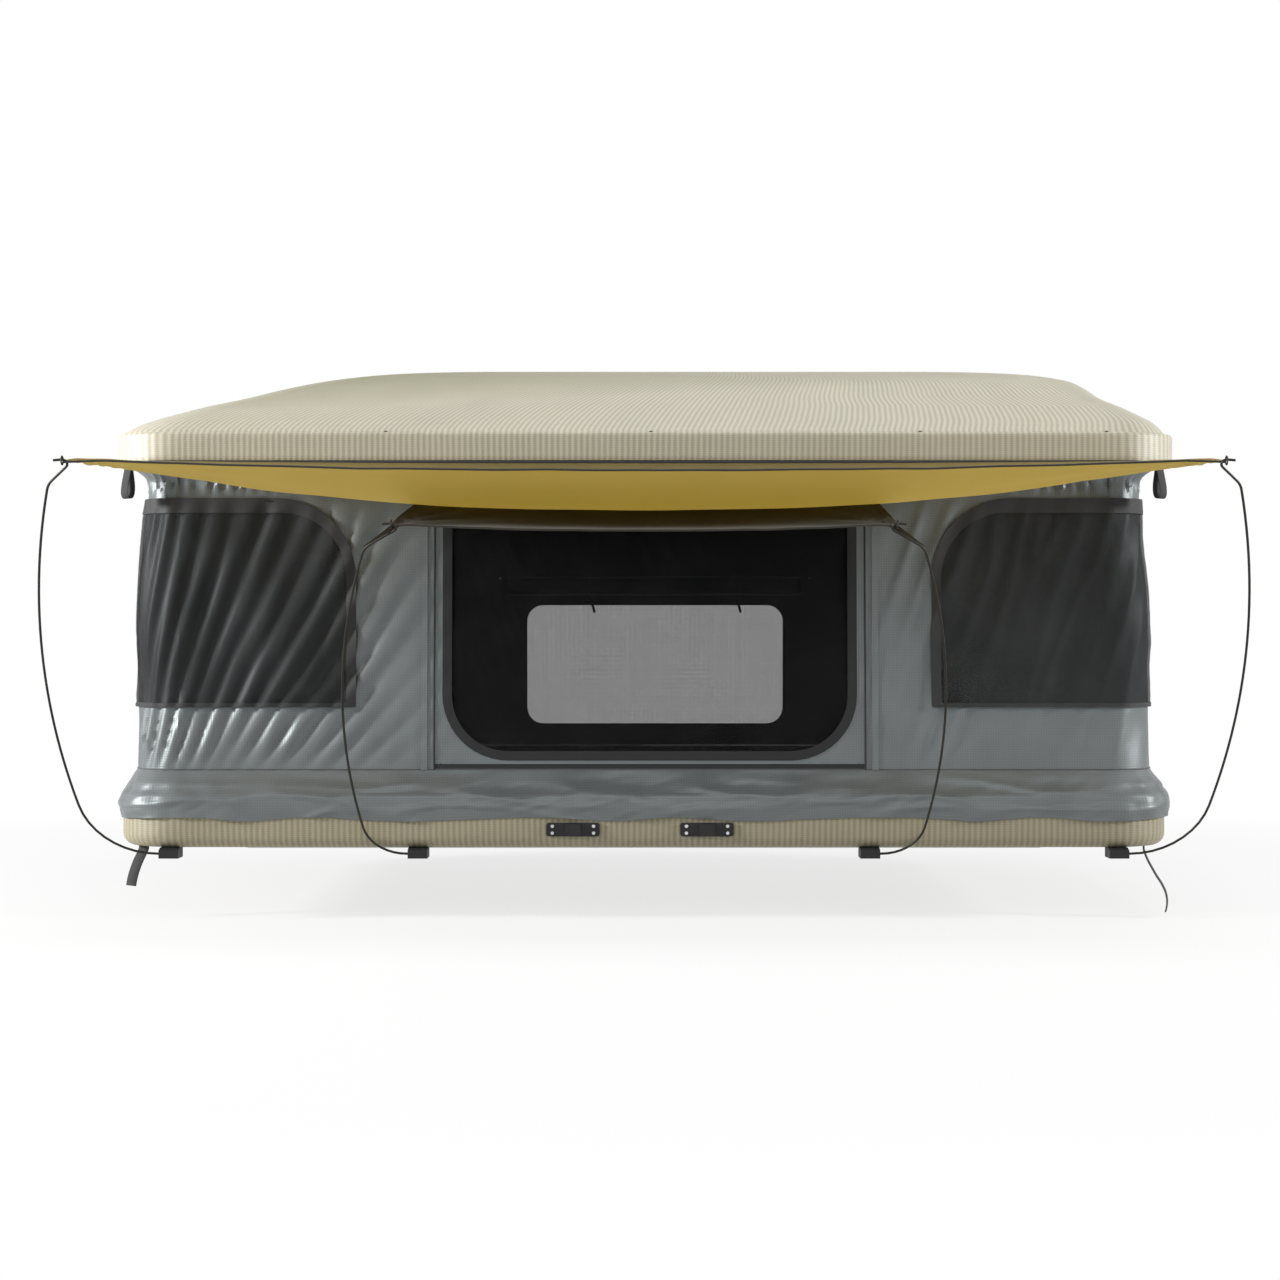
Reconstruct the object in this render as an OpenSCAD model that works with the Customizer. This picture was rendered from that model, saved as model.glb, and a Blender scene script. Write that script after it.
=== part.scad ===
// Hard-shell roof top tent, shown open: a lid on two end scissors over a base tray,
// with fabric walls, two awnings and four bent awning poles.
// Origin: centre of the roof-bar plane under the mounting rails.
// +X runs along the length, -Y is the door side, +Z is up.

/* [Base] */
// Length of the base tray
base_length = 2168; // [2000:1:2300]
// Depth of the base tray
base_depth = 1300; // [1200:1:1400]
// Height of the base tray
base_height = 100; // [90:1:130]
// Plan radius of the base corners
base_corner = 130; // [100:1:160]
// Radius of the base tray's lower edge
base_edge = 25; // [15:1:30]
// Wall of the base and lid mouldings
shell_wall = 6; // [4:0.5:8]
// Thickness of the floor panel
floor_thickness = 18; // [12:1:24]
// Thickness of the mattress at its edge
mattress_thickness = 60; // [40:1:70]
// Rise of the mattress crown
mattress_crown = 14; // [5:1:25]

/* [Roof rails] */
// Length of a mounting rail
rail_length = 1700; // [1400:1:1900]
// Width of a mounting rail
rail_width = 40; // [36:1:50]
// Height of a mounting rail
rail_height = 22; // [20:1:30]
// Wall of a mounting rail
rail_wall = 4; // [3:0.5:5]
// Distance between the two rails
rail_spacing = 700; // [600:1:800]
// Distance between the two slots of a rail
slot_spacing = 1000; // [800:1:1100]
// Length of a slot
slot_length = 120; // [60:1:160]
// Width of a slot
slot_width = 9; // [7:0.5:11]

/* [Lid] */
// How far the lid stands outside the base on each side
lid_overhang = 16; // [14:1:20]
// Height of the open lid's lower edge above the roof-bar plane
lid_level = 811; // [790:1:830]
// Height of the lid's upright rim
lid_rim = 52; // [46:1:60]
// Height of the crown above the ledge
lid_crown = 161; // [130:1:190]
// Width of the ledge above the rim
lid_ledge = 14; // [10:1:20]

/* [Lift] */
// Length of a lift arm between its end pivots
arm_length = 1000; // [940:1:1020]
// Angle of the arms with the lid closed
arm_closed_angle = 4; // [3:0.5:6]
// Width of an arm
arm_width = 30; // [26:1:34]
// Thickness of an arm
arm_thickness = 6; // [5:0.5:7]
// Gap between the two arms of a scissor
arm_gap = 2; // [1:0.5:3]
// Distance of the lift arms inside the ends of the base
arm_inset = 80; // [74:1:104]
// Radius of the pivot pins
pin_radius = 6; // [5:0.5:7]
// Running clearance of the pivot bores
pin_clearance = 0.05; // [0.03:0.01:0.09]
// Radius of the nylon glides
glide_radius = 12; // [10:0.5:14]

/* [Fabric] */
// How far the walls stand inside the base outline at their foot
wall_inset = 30; // [24:1:40]
// How much further in the walls stand at their top
wall_taper = 23; // [10:1:30]
// Thickness of the wall cloth
cloth = 1.6; // [1.2:0.1:2.5]
// Height of the seam between wall and skirt
skirt_level = 180; // [160:1:200]
// Depth of the main folds in the walls
fold_depth = 9; // [3:1:14]
// Width of the door
door_width = 884; // [760:1:940]
// Sideways place of the door's middle
door_shift = 12; // [-30:1:30]
// Height of the lower edge of the end windows
window_low = 308; // [280:1:340]
// Height of the upper edge of the end windows
window_high = 738; // [700:1:750]
// Place of the end windows' straight edge on the long walls
window_reach = 590; // [560:1:640]

/* [Awnings] */
// How far the awnings' front edge stands in front of the base
awning_reach = 450; // [350:1:500]
// Sag of the long awning
awning_sag = 88; // [40:1:110]
// Diameter of a pole
pole_diameter = 5; // [4:0.5:6]
// Distance of the outer pole sockets inside the ends of the base
outer_socket_inset = 116; // [104:1:154]
// Distance of the inner pole sockets from the middle
inner_socket = 461; // [440:1:480]

/* [Hidden] */

$fn = 32;

shell_colour = "#b8b199";
base_colour = "#a59f88";
grey_cloth = "#8a8f8f";
dark_cloth = "#2b2b2c";
gold_cloth = "#a58a48";
steel_colour = "#b9babd";
black_colour = "#1d1d1e";
alloy_colour = "#9ea1a4";

seat = 0.3;
running = 0.4;
corner_steps = 8;

base_x = base_length / 2;
base_y = base_depth / 2;
base_low = rail_height;
base_top = base_low + base_height;
floor_low = base_low + shell_wall;
floor_top = floor_low + floor_thickness;

// Points of a rounded rectangle at height z, anticlockwise from the right
function ring(x0, x1, y0, y1, r, z) = [
    for (c = [0:3])
        for (k = [0:corner_steps])
            let (
                a = 90 * (c + k / corner_steps),
                cx = (c == 0 || c == 3) ? x1 - r : x0 + r,
                cy = (c <= 1) ? y1 - r : y0 + r
            )
            [cx + r * cos(a), cy + r * sin(a), z]
];

// The base outline moved inwards by inset
function base_ring(inset, z) =
    ring(-base_x + inset, base_x - inset, -base_y + inset, base_y - inset, base_corner - inset, z);

// Triangles between ring i and ring k of n points each
function band(i, k, n) = [
    for (j = [0:n - 1])
        let (m = (j + 1) % n)
        each [[i * n + j, k * n + m, i * n + m], [i * n + j, k * n + j, k * n + m]]
];

// Solid through rings, closed by a flat face at each end
module loft(rings) {
    n = len(rings[0]);
    last = len(rings) - 1;
    polyhedron(
        points = [for (r = rings) each r],
        faces = concat(
            [[for (j = [0:n - 1]) j]],
            [for (i = [0:last - 1]) each band(i, i + 1, n)],
            [[for (j = [n - 1:-1:0]) last * n + j]]
        )
    );
}

// Ring-shaped solid through rings that end where they began
module hoop(rings) {
    n = len(rings[0]);
    count = len(rings);
    polyhedron(
        points = [for (r = rings) each r],
        faces = [for (i = [0:count - 1]) each band(i, (i + 1) % count, n)]
    );
}

// Flat plate with true round corners
module rounded_plate(x, y, h, r) {
    linear_extrude(h) {
        square([x - 2 * r, y], center = true);
        square([x, y - 2 * r], center = true);
        for (i = [-1, 1])
            for (j = [-1, 1])
                translate([i * (x / 2 - r), j * (y / 2 - r)])
                    circle(r);
    }
}

// Cylinder along +X
module bar(length, radius) {
    rotate([0, 90, 0])
        cylinder(h = length, r = radius);
}

// Base tray

bolt_radius = 3;
bolt_head = 6;
bolt_head_height = 4;
bolt_places = [for (i = [-1:1]) for (j = [-1, 1]) [i * rail_length * 0.42, j * rail_spacing / 2]];
inner_edge = shell_wall + base_edge;

module base_shell() {
    half_edge = base_edge * (1 - sqrt(0.5));
    color(base_colour)
        difference() {
            loft([
                base_ring(base_edge, base_low),
                base_ring(half_edge, base_low + half_edge),
                base_ring(0, base_low + base_edge),
                base_ring(0, base_top - 2),
                base_ring(2, base_top),
                base_ring(shell_wall, base_top),
                base_ring(shell_wall, floor_low + base_edge),
                base_ring(shell_wall + half_edge, floor_low + half_edge),
                base_ring(inner_edge, floor_low)
            ]);
            for (p = bolt_places)
                translate([p.x, p.y, base_low - 1])
                    cylinder(h = shell_wall + 2, r = bolt_radius + running);
        }
}

floor_margin = 44;
arm_x = base_x - arm_inset;
outer_socket = base_x - outer_socket_inset;
floor_x = arm_x - floor_margin;
floor_y = base_y - inner_edge - 10;
floor_corner = 80;

module floor_panel() {
    color("#8d7a5c")
        difference() {
            translate([0, 0, floor_low])
                rounded_plate(2 * floor_x, 2 * floor_y, floor_thickness, floor_corner);
            for (p = bolt_places)
                translate([p.x, p.y, floor_low - 1])
                    cylinder(h = floor_thickness + 2, r = bolt_head + 2);
        }
}

// Ring of the mattress: sides drawn in between the corners
function mattress_ring(inset, z) =
    let (x = floor_x - 6 - inset, y = floor_y - 6 - inset, draw = 9)
    [
        for (p = ring(-x, x, -y, y, floor_corner, z))
            let (u = p.x / x, v = p.y / y)
            [p.x - draw * sign(p.x) * pow(u, 8) * (1 - v * v), p.y - draw * sign(p.y) * pow(v, 8) * (1 - u * u), z]
    ];

// Insets of the mattress outline at its foot, shoulder, slope and crown
mattress_foot = 8;
mattress_shoulder = 10;
mattress_slope = 90;
mattress_top = 260;

module mattress() {
    low = floor_top + seat;
    color("#6f7376")
        loft([
            mattress_ring(mattress_foot, low),
            mattress_ring(0, low + mattress_thickness * 0.3),
            mattress_ring(0, low + mattress_thickness * 0.7),
            mattress_ring(mattress_shoulder, low + mattress_thickness),
            mattress_ring(mattress_slope, low + mattress_thickness + mattress_crown * 0.6),
            mattress_ring(mattress_top, low + mattress_thickness + mattress_crown)
        ]);
}

module mounting_rail(side) {
    color(alloy_colour)
        translate([0, side * rail_spacing / 2, 0])
            difference() {
                translate([-rail_length / 2, -rail_width / 2, 0])
                    cube([rail_length, rail_width, rail_height]);
                translate([-rail_length / 2 - 1, rail_wall - rail_width / 2, rail_wall])
                    cube([rail_length + 2, rail_width - 2 * rail_wall, rail_height - 2 * rail_wall]);
                for (i = [-1, 1])
                    translate([i * slot_spacing / 2, 0, -1])
                        linear_extrude(rail_wall + 2) {
                            square([slot_length - slot_width, slot_width], center = true);
                            for (k = [-1, 1])
                                translate([k * (slot_length - slot_width) / 2, 0])
                                    circle(slot_width / 2);
                        }
                for (i = [-1:1])
                    translate([i * rail_length * 0.42, 0, rail_height - rail_wall - 1])
                        cylinder(h = rail_wall + 2, r = bolt_radius + running);
            }
}

module mounting_rail_front() {
    mounting_rail(-1);
}

module mounting_rail_rear() {
    mounting_rail(1);
}

module rail_end_caps() {
    cap = 4;
    plug = 12;
    color(black_colour)
        for (i = [-1, 1])
            for (j = [-1, 1])
                translate([i * rail_length / 2, j * rail_spacing / 2, rail_height / 2])
                    mirror([i < 0 ? 1 : 0, 0, 0]) {
                        translate([0, -rail_width / 2, 1 - rail_height / 2])
                            cube([cap, rail_width, rail_height - 2]);
                        translate([-plug, rail_wall + seat - rail_width / 2, rail_wall + seat - rail_height / 2])
                            cube([
                                plug + 1,
                                rail_width - 2 * (rail_wall + seat),
                                rail_height - 2 * (rail_wall + seat)
                            ]);
                    }
}

module rail_bolts() {
    nut = 5;
    color(steel_colour)
        for (p = bolt_places)
            translate([p.x, p.y, 0]) {
                translate([0, 0, floor_low])
                    cylinder(h = bolt_head_height, r = bolt_head);
                translate([0, 0, rail_height - rail_wall - nut])
                    cylinder(h = floor_low - rail_height + rail_wall + nut, r = bolt_radius);
                translate([0, 0, rail_height - rail_wall - nut])
                    cylinder(h = nut, r = bolt_head);
            }
}

// Lift: two arms crossed at each short end, with the lid pivot straight above the base pivot

lid_x = base_x + lid_overhang;
lid_y = base_y + lid_overhang;
lid_corner = base_corner + lid_overhang;
pivot_above_edge = 39;
pivot_above_floor = 33.99;
lid_pivot_z = lid_level + pivot_above_edge;
base_pivot_z = floor_low + pivot_above_floor;
arm_angle = asin((lid_pivot_z - base_pivot_z) / arm_length);
pivot_y = arm_length * cos(arm_closed_angle) / 2;
foot_y = pivot_y - arm_length * cos(arm_angle);
far_y = pivot_y - arm_length * cos(arm_closed_angle);
arm_bore = pin_radius + pin_clearance;
open_pivot_clearance = 0.3;
lift_in = arm_x - arm_thickness / 2;
lift_out = arm_x + arm_thickness / 2;
cross_out = lift_in - arm_gap;
cross_in = cross_out - arm_thickness;
glide_depth = 13;
track_wall = 3;
track_half = glide_radius + running;
track_end = 16;
plate = 6;
plate_in = lift_out + 1;
plate_out = plate_in + plate;
strut_radius = 11;
strut_x = lift_in - strut_radius - 0.5;
strut_share = 0.73092;
strut_reach = strut_share * arm_length * cos(arm_angle);
strut_lever = strut_reach / 3;
strut_foot_y = pivot_y - strut_reach;
strut_dy = strut_reach - strut_lever * cos(arm_angle);
strut_dz = strut_lever * sin(arm_angle);
strut_open = sqrt(strut_dy * strut_dy + strut_dz * strut_dz);
strut_angle = atan2(strut_dz, strut_dy);
strut_pin = 5;
strut_eye = 10;
strut_eye_depth = 9;

// Mirrors a right-hand piece for the given end
module at_end(side) {
    mirror([side < 0 ? 1 : 0, 0, 0])
        children();
}

// Flat arm along +Y with round ends, from x0 outwards, with end bores and a middle bore
module arm_bar(x0, first_bore, last_bore) {
    translate([x0, 0, 0])
        difference() {
            union() {
                translate([0, 0, -arm_width / 2])
                    cube([arm_thickness, arm_length, arm_width]);
                for (y = [0, arm_length])
                    translate([0, y, 0])
                        bar(arm_thickness, arm_width / 2);
            }
            translate([-1, 0, 0])
                bar(arm_thickness + 2, first_bore);
            translate([-1, arm_length / 2, 0])
                bar(arm_thickness + 2, arm_bore);
            translate([-1, arm_length, 0])
                bar(arm_thickness + 2, last_bore);
        }
}

module lift_arm(side) {
    stud_length = 6.5;
    stud_radius = 4.5;
    color(alloy_colour)
        at_end(side)
            translate([0, pivot_y, base_pivot_z])
                rotate([180 - arm_angle, 0, 0]) {
                    arm_bar(lift_in, arm_bore, arm_bore);
                    translate([lift_in - stud_length, strut_lever, 0])
                        bar(stud_length, stud_radius);
                }
}

module lift_arm_left() {
    lift_arm(-1);
}

module lift_arm_right() {
    lift_arm(1);
}

// The right-hand top pivot is the open one and has the wider bore
module cross_arm(side) {
    color(alloy_colour)
        at_end(side)
            translate([0, foot_y, base_pivot_z])
                rotate([arm_angle, 0, 0])
                    arm_bar(cross_in, arm_bore, side < 0 ? arm_bore : pin_radius + open_pivot_clearance);
}

module cross_arm_left() {
    cross_arm(-1);
}

module cross_arm_right() {
    cross_arm(1);
}

// Nylon glide on +X from the arm face, with its stud through the arm
module glide() {
    clip = 1.2;
    translate([seat, 0, 0])
        bar(glide_depth, glide_radius);
    translate([-arm_thickness - seat - clip, 0, 0])
        bar(arm_thickness + 2 * seat + clip, pin_radius);
    translate([-arm_thickness - seat - clip, 0, 0])
        bar(clip, pin_radius + 3);
}

// Centre pin and upper glide of a lift arm
module lift_fittings(side) {
    head = 3;
    head_radius = 10;
    pin_start = cross_in - seat - head;
    pin_length = lift_out - cross_in + 2 * (seat + head);
    color(steel_colour)
        at_end(side)
            translate([0, pivot_y, base_pivot_z])
                rotate([180 - arm_angle, 0, 0]) {
                    translate([pin_start, arm_length / 2, 0]) {
                        bar(pin_length, pin_radius);
                        bar(head, head_radius);
                        translate([pin_length - head, 0, 0])
                            bar(head, head_radius);
                    }
                    translate([lift_out, arm_length, 0])
                        glide();
                }
}

module lift_fittings_left() {
    lift_fittings(-1);
}

module lift_fittings_right() {
    lift_fittings(1);
}

module cross_glide(side) {
    color(black_colour)
        at_end(side)
            translate([cross_in, foot_y, base_pivot_z])
                mirror([1, 0, 0])
                    glide();
}

module cross_glide_left() {
    cross_glide(-1);
}

module cross_glide_right() {
    cross_glide(1);
}

// Channel along Y, open towards -X, for a glide that starts at x = 0
module channel() {
    depth = glide_depth + seat + running;
    length = foot_y - far_y + 2 * track_end;
    translate([0, far_y - track_end, 0]) {
        for (z = [-track_half - track_wall, track_half])
            translate([running, 0, z])
                cube([depth - running, length, track_wall]);
        translate([depth, 0, -track_half - track_wall])
            cube([track_wall, length, 2 * (track_half + track_wall)]);
    }
}

module base_tracks() {
    length = foot_y - far_y + 2 * track_end;
    web = cross_in - glide_depth - seat - running - track_wall;
    color(alloy_colour)
        for (side = [-1, 1])
            at_end(side) {
                translate([cross_in, 0, base_pivot_z])
                    mirror([1, 0, 0])
                        channel();
                translate([web, far_y - track_end, floor_low])
                    cube([track_wall, length, base_pivot_z - floor_low]);
                translate([web, far_y - track_end, floor_low])
                    cube([glide_depth, length, track_wall]);
            }
}

module base_pivots() {
    foot = 32;
    half = arm_width / 2 + 3;
    color(steel_colour)
        for (side = [-1, 1])
            at_end(side)
                translate([0, pivot_y, 0]) {
                    translate([plate_in, -half, floor_low])
                        cube([plate, 2 * half, base_pivot_z - floor_low]);
                    translate([plate_in, 0, base_pivot_z])
                        bar(plate, half);
                    translate([plate_in, -half, floor_low])
                        cube([foot, 2 * half, plate]);
                    translate([lift_in - 1, 0, base_pivot_z])
                        bar(plate_in - lift_in + 2, pin_radius);
                }
}

module strut_feet() {
    ear = 4;
    ear_in = strut_x + strut_eye_depth / 2 + 0.5;
    foot = 30;
    color(steel_colour)
        for (side = [-1, 1])
            at_end(side)
                translate([0, strut_foot_y, 0]) {
                    translate([ear_in, -strut_eye, floor_low])
                        cube([ear, 2 * strut_eye, base_pivot_z - floor_low]);
                    translate([ear_in, 0, base_pivot_z])
                        bar(ear, strut_eye);
                    translate([ear_in + ear - foot, -strut_eye, floor_low])
                        cube([foot, 2 * strut_eye, ear]);
                    translate([strut_x - strut_eye_depth / 2 - 1, 0, base_pivot_z])
                        bar(ear_in + ear - strut_x + strut_eye_depth / 2, strut_pin);
                }
}

// Puts a right-hand strut piece along its own axis, from the foot pin along +Y
module along_strut(side) {
    at_end(side)
        translate([strut_x, strut_foot_y, base_pivot_z])
            rotate([strut_angle, 0, 0])
                children();
}

// Flat eye with a bore along X
module strut_end(bore) {
    translate([-strut_eye_depth / 2, 0, 0])
        difference() {
            bar(strut_eye_depth, strut_eye);
            translate([-1, 0, 0])
                bar(strut_eye_depth + 2, bore);
        }
}

tube_start = 14;
tube_share = 7 / 15;
tube_end = tube_share * strut_reach;
rod_radius = 4;

module strut_cylinder(side) {
    gland = 6;
    color(black_colour)
        along_strut(side) {
            strut_end(strut_pin + pin_clearance);
            rotate([-90, 0, 0])
                difference() {
                    union() {
                        translate([0, 0, strut_eye - 1])
                            cylinder(h = tube_start - strut_eye + 2, r = strut_pin);
                        translate([0, 0, tube_start])
                            cylinder(h = tube_end - tube_start, r = strut_radius);
                    }
                    translate([0, 0, tube_start + gland])
                        cylinder(h = tube_end - tube_start - 2 * gland, r = strut_radius - 2);
                    translate([0, 0, tube_end - gland - 1])
                        cylinder(h = gland + 2, r = rod_radius + pin_clearance);
                }
        }
}

module strut_cylinder_left() {
    strut_cylinder(-1);
}

module strut_cylinder_right() {
    strut_cylinder(1);
}

module strut_rod(side) {
    piston = 10;
    piston_start = tube_end - 24;
    color(steel_colour)
        along_strut(side) {
            translate([0, strut_open, 0])
                strut_end(strut_pin);
            rotate([-90, 0, 0]) {
                translate([0, 0, piston_start])
                    cylinder(h = strut_open - strut_eye - piston_start + 1, r = rod_radius);
                translate([0, 0, piston_start])
                    cylinder(h = piston, r = strut_radius - 2 - pin_clearance);
            }
        }
}

module strut_rod_left() {
    strut_rod(-1);
}

module strut_rod_right() {
    strut_rod(1);
}

// Lid

ledge_z = lid_level + lid_rim + 6;
// Rows of the dome: share of the crown's height, then insets at the left, right and long sides
dome = [
    [0.037, 18, 18, 18],
    [0.174, 67, 40, 42],
    [0.342, 160, 92, 78],
    [0.497, 262, 143, 108],
    [0.646, 345, 170, 140],
    [0.783, 441, 207, 180],
    [0.888, 560, 300, 235],
    [0.963, 740, 480, 320],
    [1.000, 860, 640, 430]
];
dome_rows = len(dome) - 1;

// Ring of the lid with its own inset at the left, right and long sides
function lid_ring(left, right, side, z) =
    ring(-lid_x + left, lid_x - right, -lid_y + side, lid_y - side, max(60, lid_corner - side), z);

function even_ring(inset, z) = lid_ring(inset, inset, inset, z);

// Row i of the dome, lowered by drop and drawn in by inset
function dome_ring(i, inset, drop) =
    lid_ring(dome[i][1] + inset, dome[i][2] + inset, dome[i][3] + inset, ledge_z + lid_crown * dome[i][0] - drop);

skin_inset = 3;

module lid_shell() {
    color(shell_colour)
        loft(concat(
            [for (i = [dome_rows:-1:0]) dome_ring(i, skin_inset, shell_wall)],
            [
                even_ring(lid_ledge + 4, ledge_z - shell_wall),
                even_ring(shell_wall + 4, ledge_z - shell_wall - 3),
                even_ring(shell_wall, ledge_z - shell_wall - 7),
                even_ring(shell_wall, lid_level),
                even_ring(2, lid_level),
                even_ring(0, lid_level + 4),
                even_ring(0, lid_level + lid_rim),
                even_ring(4, ledge_z),
                even_ring(lid_ledge, ledge_z)
            ],
            [for (i = [0:dome_rows]) dome_ring(i, 0, 0)]
        ));
}

liner_thickness = 4;

module lid_liner() {
    under = shell_wall + seat;
    color("#8d9192")
        loft(concat(
            [for (i = [dome_rows:-1:1]) dome_ring(i, skin_inset, under + liner_thickness)],
            [for (i = [1:dome_rows]) dome_ring(i, skin_inset, under)]
        ));
}

frame_in = shell_wall + seat;
frame_out = frame_in + 5.7;
frame_low = lid_level + 9;
frame_high = lid_level + 45;

// Upright band inside the lid's rim
module lid_band(inset0, inset1, low, high) {
    hoop([
        even_ring(inset0, low),
        even_ring(inset0, high),
        even_ring(inset1, high),
        even_ring(inset1, low)
    ]);
}

module lid_frame() {
    color(alloy_colour)
        lid_band(frame_in, frame_out, frame_low, frame_high);
}

seal_out = frame_in + 7.7;
seal_low = lid_level + 1;

module lid_seal() {
    color(black_colour)
        lid_band(frame_in, seal_out, seal_low, frame_low - seat);
}

rivet_places = [-525, 14, 562, 941];

module lid_rivets() {
    radius = 4.5;
    height = 2.5;
    color(steel_colour)
        for (j = [-1, 1])
            for (x = rivet_places)
                translate([x, j * (lid_y - lid_ledge / 2 - 2), ledge_z])
                    cylinder(h = height, r1 = radius, r2 = radius * 0.7);
}

bar_low = lid_level + 33.5;
bar_high = lid_level + 47;
bar_in = lift_out + glide_depth + seat + running + track_wall + 7;
bar_width = 25;
bar_over = bar_in + bar_width - lid_x + lid_corner;
bar_turn = lid_corner - frame_out - seat;
bar_half = lid_y - lid_corner + sqrt(bar_turn * bar_turn - bar_over * bar_over);

module lid_crossbars() {
    color(alloy_colour)
        for (side = [-1, 1])
            at_end(side)
                translate([bar_in, -bar_half, bar_low])
                    cube([bar_width, 2 * bar_half, bar_high - bar_low]);
}

module lid_tracks() {
    length = foot_y - far_y + 2 * track_end;
    web = lift_out + glide_depth + seat + running;
    color(alloy_colour)
        for (side = [-1, 1])
            at_end(side) {
                translate([lift_out, 0, lid_pivot_z])
                    channel();
                translate([web, far_y - track_end, bar_low + 1])
                    cube([bar_in - seat - web, length, bar_high - bar_low - 2]);
            }
}

module lid_pivots() {
    half = arm_width / 2;
    color(steel_colour)
        for (side = [-1, 1])
            at_end(side)
                translate([0, pivot_y, 0]) {
                    translate([plate_in, 0, lid_pivot_z])
                        bar(plate, half);
                    translate([plate_in, -half, bar_low + 1])
                        cube([bar_in - seat - plate_in, 2 * half, bar_high - bar_low - 2]);
                    translate([cross_in - 1, 0, lid_pivot_z])
                        bar(plate_in - cross_in + 2, pin_radius);
                }
}

// Webbing: a ribbon swept along a route, with its width kept near the given direction

webbing_width = 25;
webbing_thickness = 1.6;

function unit(v) = v / norm(v);

function route_tangent(route, i) =
    unit(route[min(i + 1, len(route) - 1)] - route[max(i - 1, 0)]);

function ribbon_ring(p, t, across) =
    let (
        w = unit(across - (across * t) * t) * webbing_width / 2,
        n = cross(t, unit(w)) * webbing_thickness / 2
    )
    [p + w + n, p - w + n, p - w - n, p + w - n];

module ribbon(route, across) {
    loft([for (i = [0:len(route) - 1]) ribbon_ring(route[i], route_tangent(route, i), across)]);
}

strap_inset_x = 48;
strap_inset_y = 90;

// Rows of a hanging tail: how far outwards, how far forwards and its height from the underside of the base
function tail_route(side, rows) =
    [for (r = rows) [side * (base_x - strap_inset_x + r[0]), strap_inset_y - base_y - r[1], base_low + r[2]]];

left_tail_rows = [
    [0, 0, -0.4], [0, 0, -8], [5, 2, -20], [12, 5, -36], [18, 8, -54], [22, 10, -70], [24, 12, -84]
];
right_tail_rows = [
    [0, 0, -0.4], [0, 0, -10], [6, 3, -28], [15, 6, -46], [25, 9, -64], [35, 11, -80], [43, 12, -98],
    [46, 12, -118], [43, 11, -138]
];

// Teardrop loop under the lid's corner: how far inside the corner and how far below the lid
loop_rows = [
    [46, 0.2], [46, 11], [48, 31], [49.5, 49], [49, 64], [46.5, 72.5], [42.5, 75], [39, 72], [37.5, 63],
    [38.5, 47], [41.5, 27], [43.8, 11], [43.8, 0.2]
];
loop_route = [for (r = loop_rows) [r[0] - lid_x, r[0] - lid_y, lid_level - r[1]]];

module closing_strap_left() {
    color(black_colour)
        ribbon(tail_route(-1, left_tail_rows), [0.9, -0.4, 0]);
}

module closing_strap_right() {
    color(black_colour)
        ribbon(tail_route(1, right_tail_rows), [0.3, 0.95, 0]);
}

module lid_loop_left() {
    color(black_colour)
        ribbon(loop_route, [0.71, -0.71, 0]);
}

module lid_loop_right() {
    mirror([1, 0, 0])
        lid_loop_left();
}

// Ladder brackets on the base front

ladder_middle = -8;
ladder_spacing = 273;
ladder_z = base_low + 38;
ladder_length = 109;
ladder_height = 28;
ladder_plate = 4;
ladder_block = 32;
ladder_block_depth = 14;
ladder_slot = 12;
screw_radius = 2;
screw_head = 4;
screw_places = [for (i = [-1, 1]) for (j = [-1, 1]) [i * 42, j * 7]];

module ladder_bracket(side) {
    color(black_colour)
        translate([ladder_middle + side * ladder_spacing / 2, -base_y, ladder_z])
            rotate([90, 0, 0])
                difference() {
                    union() {
                        rounded_plate(ladder_length, ladder_height, ladder_plate, 6);
                        rounded_plate(ladder_block, ladder_height - 4, ladder_block_depth, 5);
                    }
                    translate([-ladder_slot / 2, -ladder_height, ladder_plate])
                        cube([ladder_slot, 2 * ladder_height, ladder_block_depth - ladder_plate - 4]);
                    for (p = screw_places)
                        translate([p.x, p.y, -1])
                            cylinder(h = ladder_plate + 2, r = screw_radius + pin_clearance);
                }
}

module ladder_bracket_left() {
    ladder_bracket(-1);
}

module ladder_bracket_right() {
    ladder_bracket(1);
}

module bracket_screws() {
    color(steel_colour)
        for (side = [-1, 1])
            for (p = screw_places)
                translate([ladder_middle + side * ladder_spacing / 2 + p.x, -base_y, ladder_z + p.y])
                    rotate([90, 0, 0]) {
                        cylinder(h = ladder_plate, r = screw_radius);
                        translate([0, 0, ladder_plate])
                            cylinder(h = 2, r1 = screw_head, r2 = screw_head * 0.8);
                    }
}

// Awning poles: planar rods in sockets under the base front, leaning forwards

pole_radius = pole_diameter / 2;
socket_y = -base_y + 10;
socket_z = 10;
socket_half = 20;
socket_front = 15;
socket_back = 40;
shank_in = 18;
shank_out = 24;
hook_radius = 9;
outer_lean = 32;
inner_lean = 36;
outer_elbow = 150;
outer_bow = 1610;
outer_neck = 42;
inner_elbow = 85;
inner_bow = 1433;
inner_neck = 55;
neck_bend = 40;
hook_tip = 15;
// Each row is a straight length with no turn, or a bend radius and its turn
outer_path = [
    [shank_in + shank_out, 0], [outer_elbow, 79], [outer_bow, 26], [neck_bend, 31], [outer_neck, 0],
    [hook_radius, -136], [hook_radius, -6], [hook_tip, 0]
];
inner_path = [
    [shank_in + shank_out, 0], [inner_elbow, 80], [inner_bow, 27], [neck_bend, 40], [inner_neck, 0],
    [hook_radius, -147], [hook_radius, -6], [hook_tip, 0]
];
hook_rows = 6;

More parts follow.
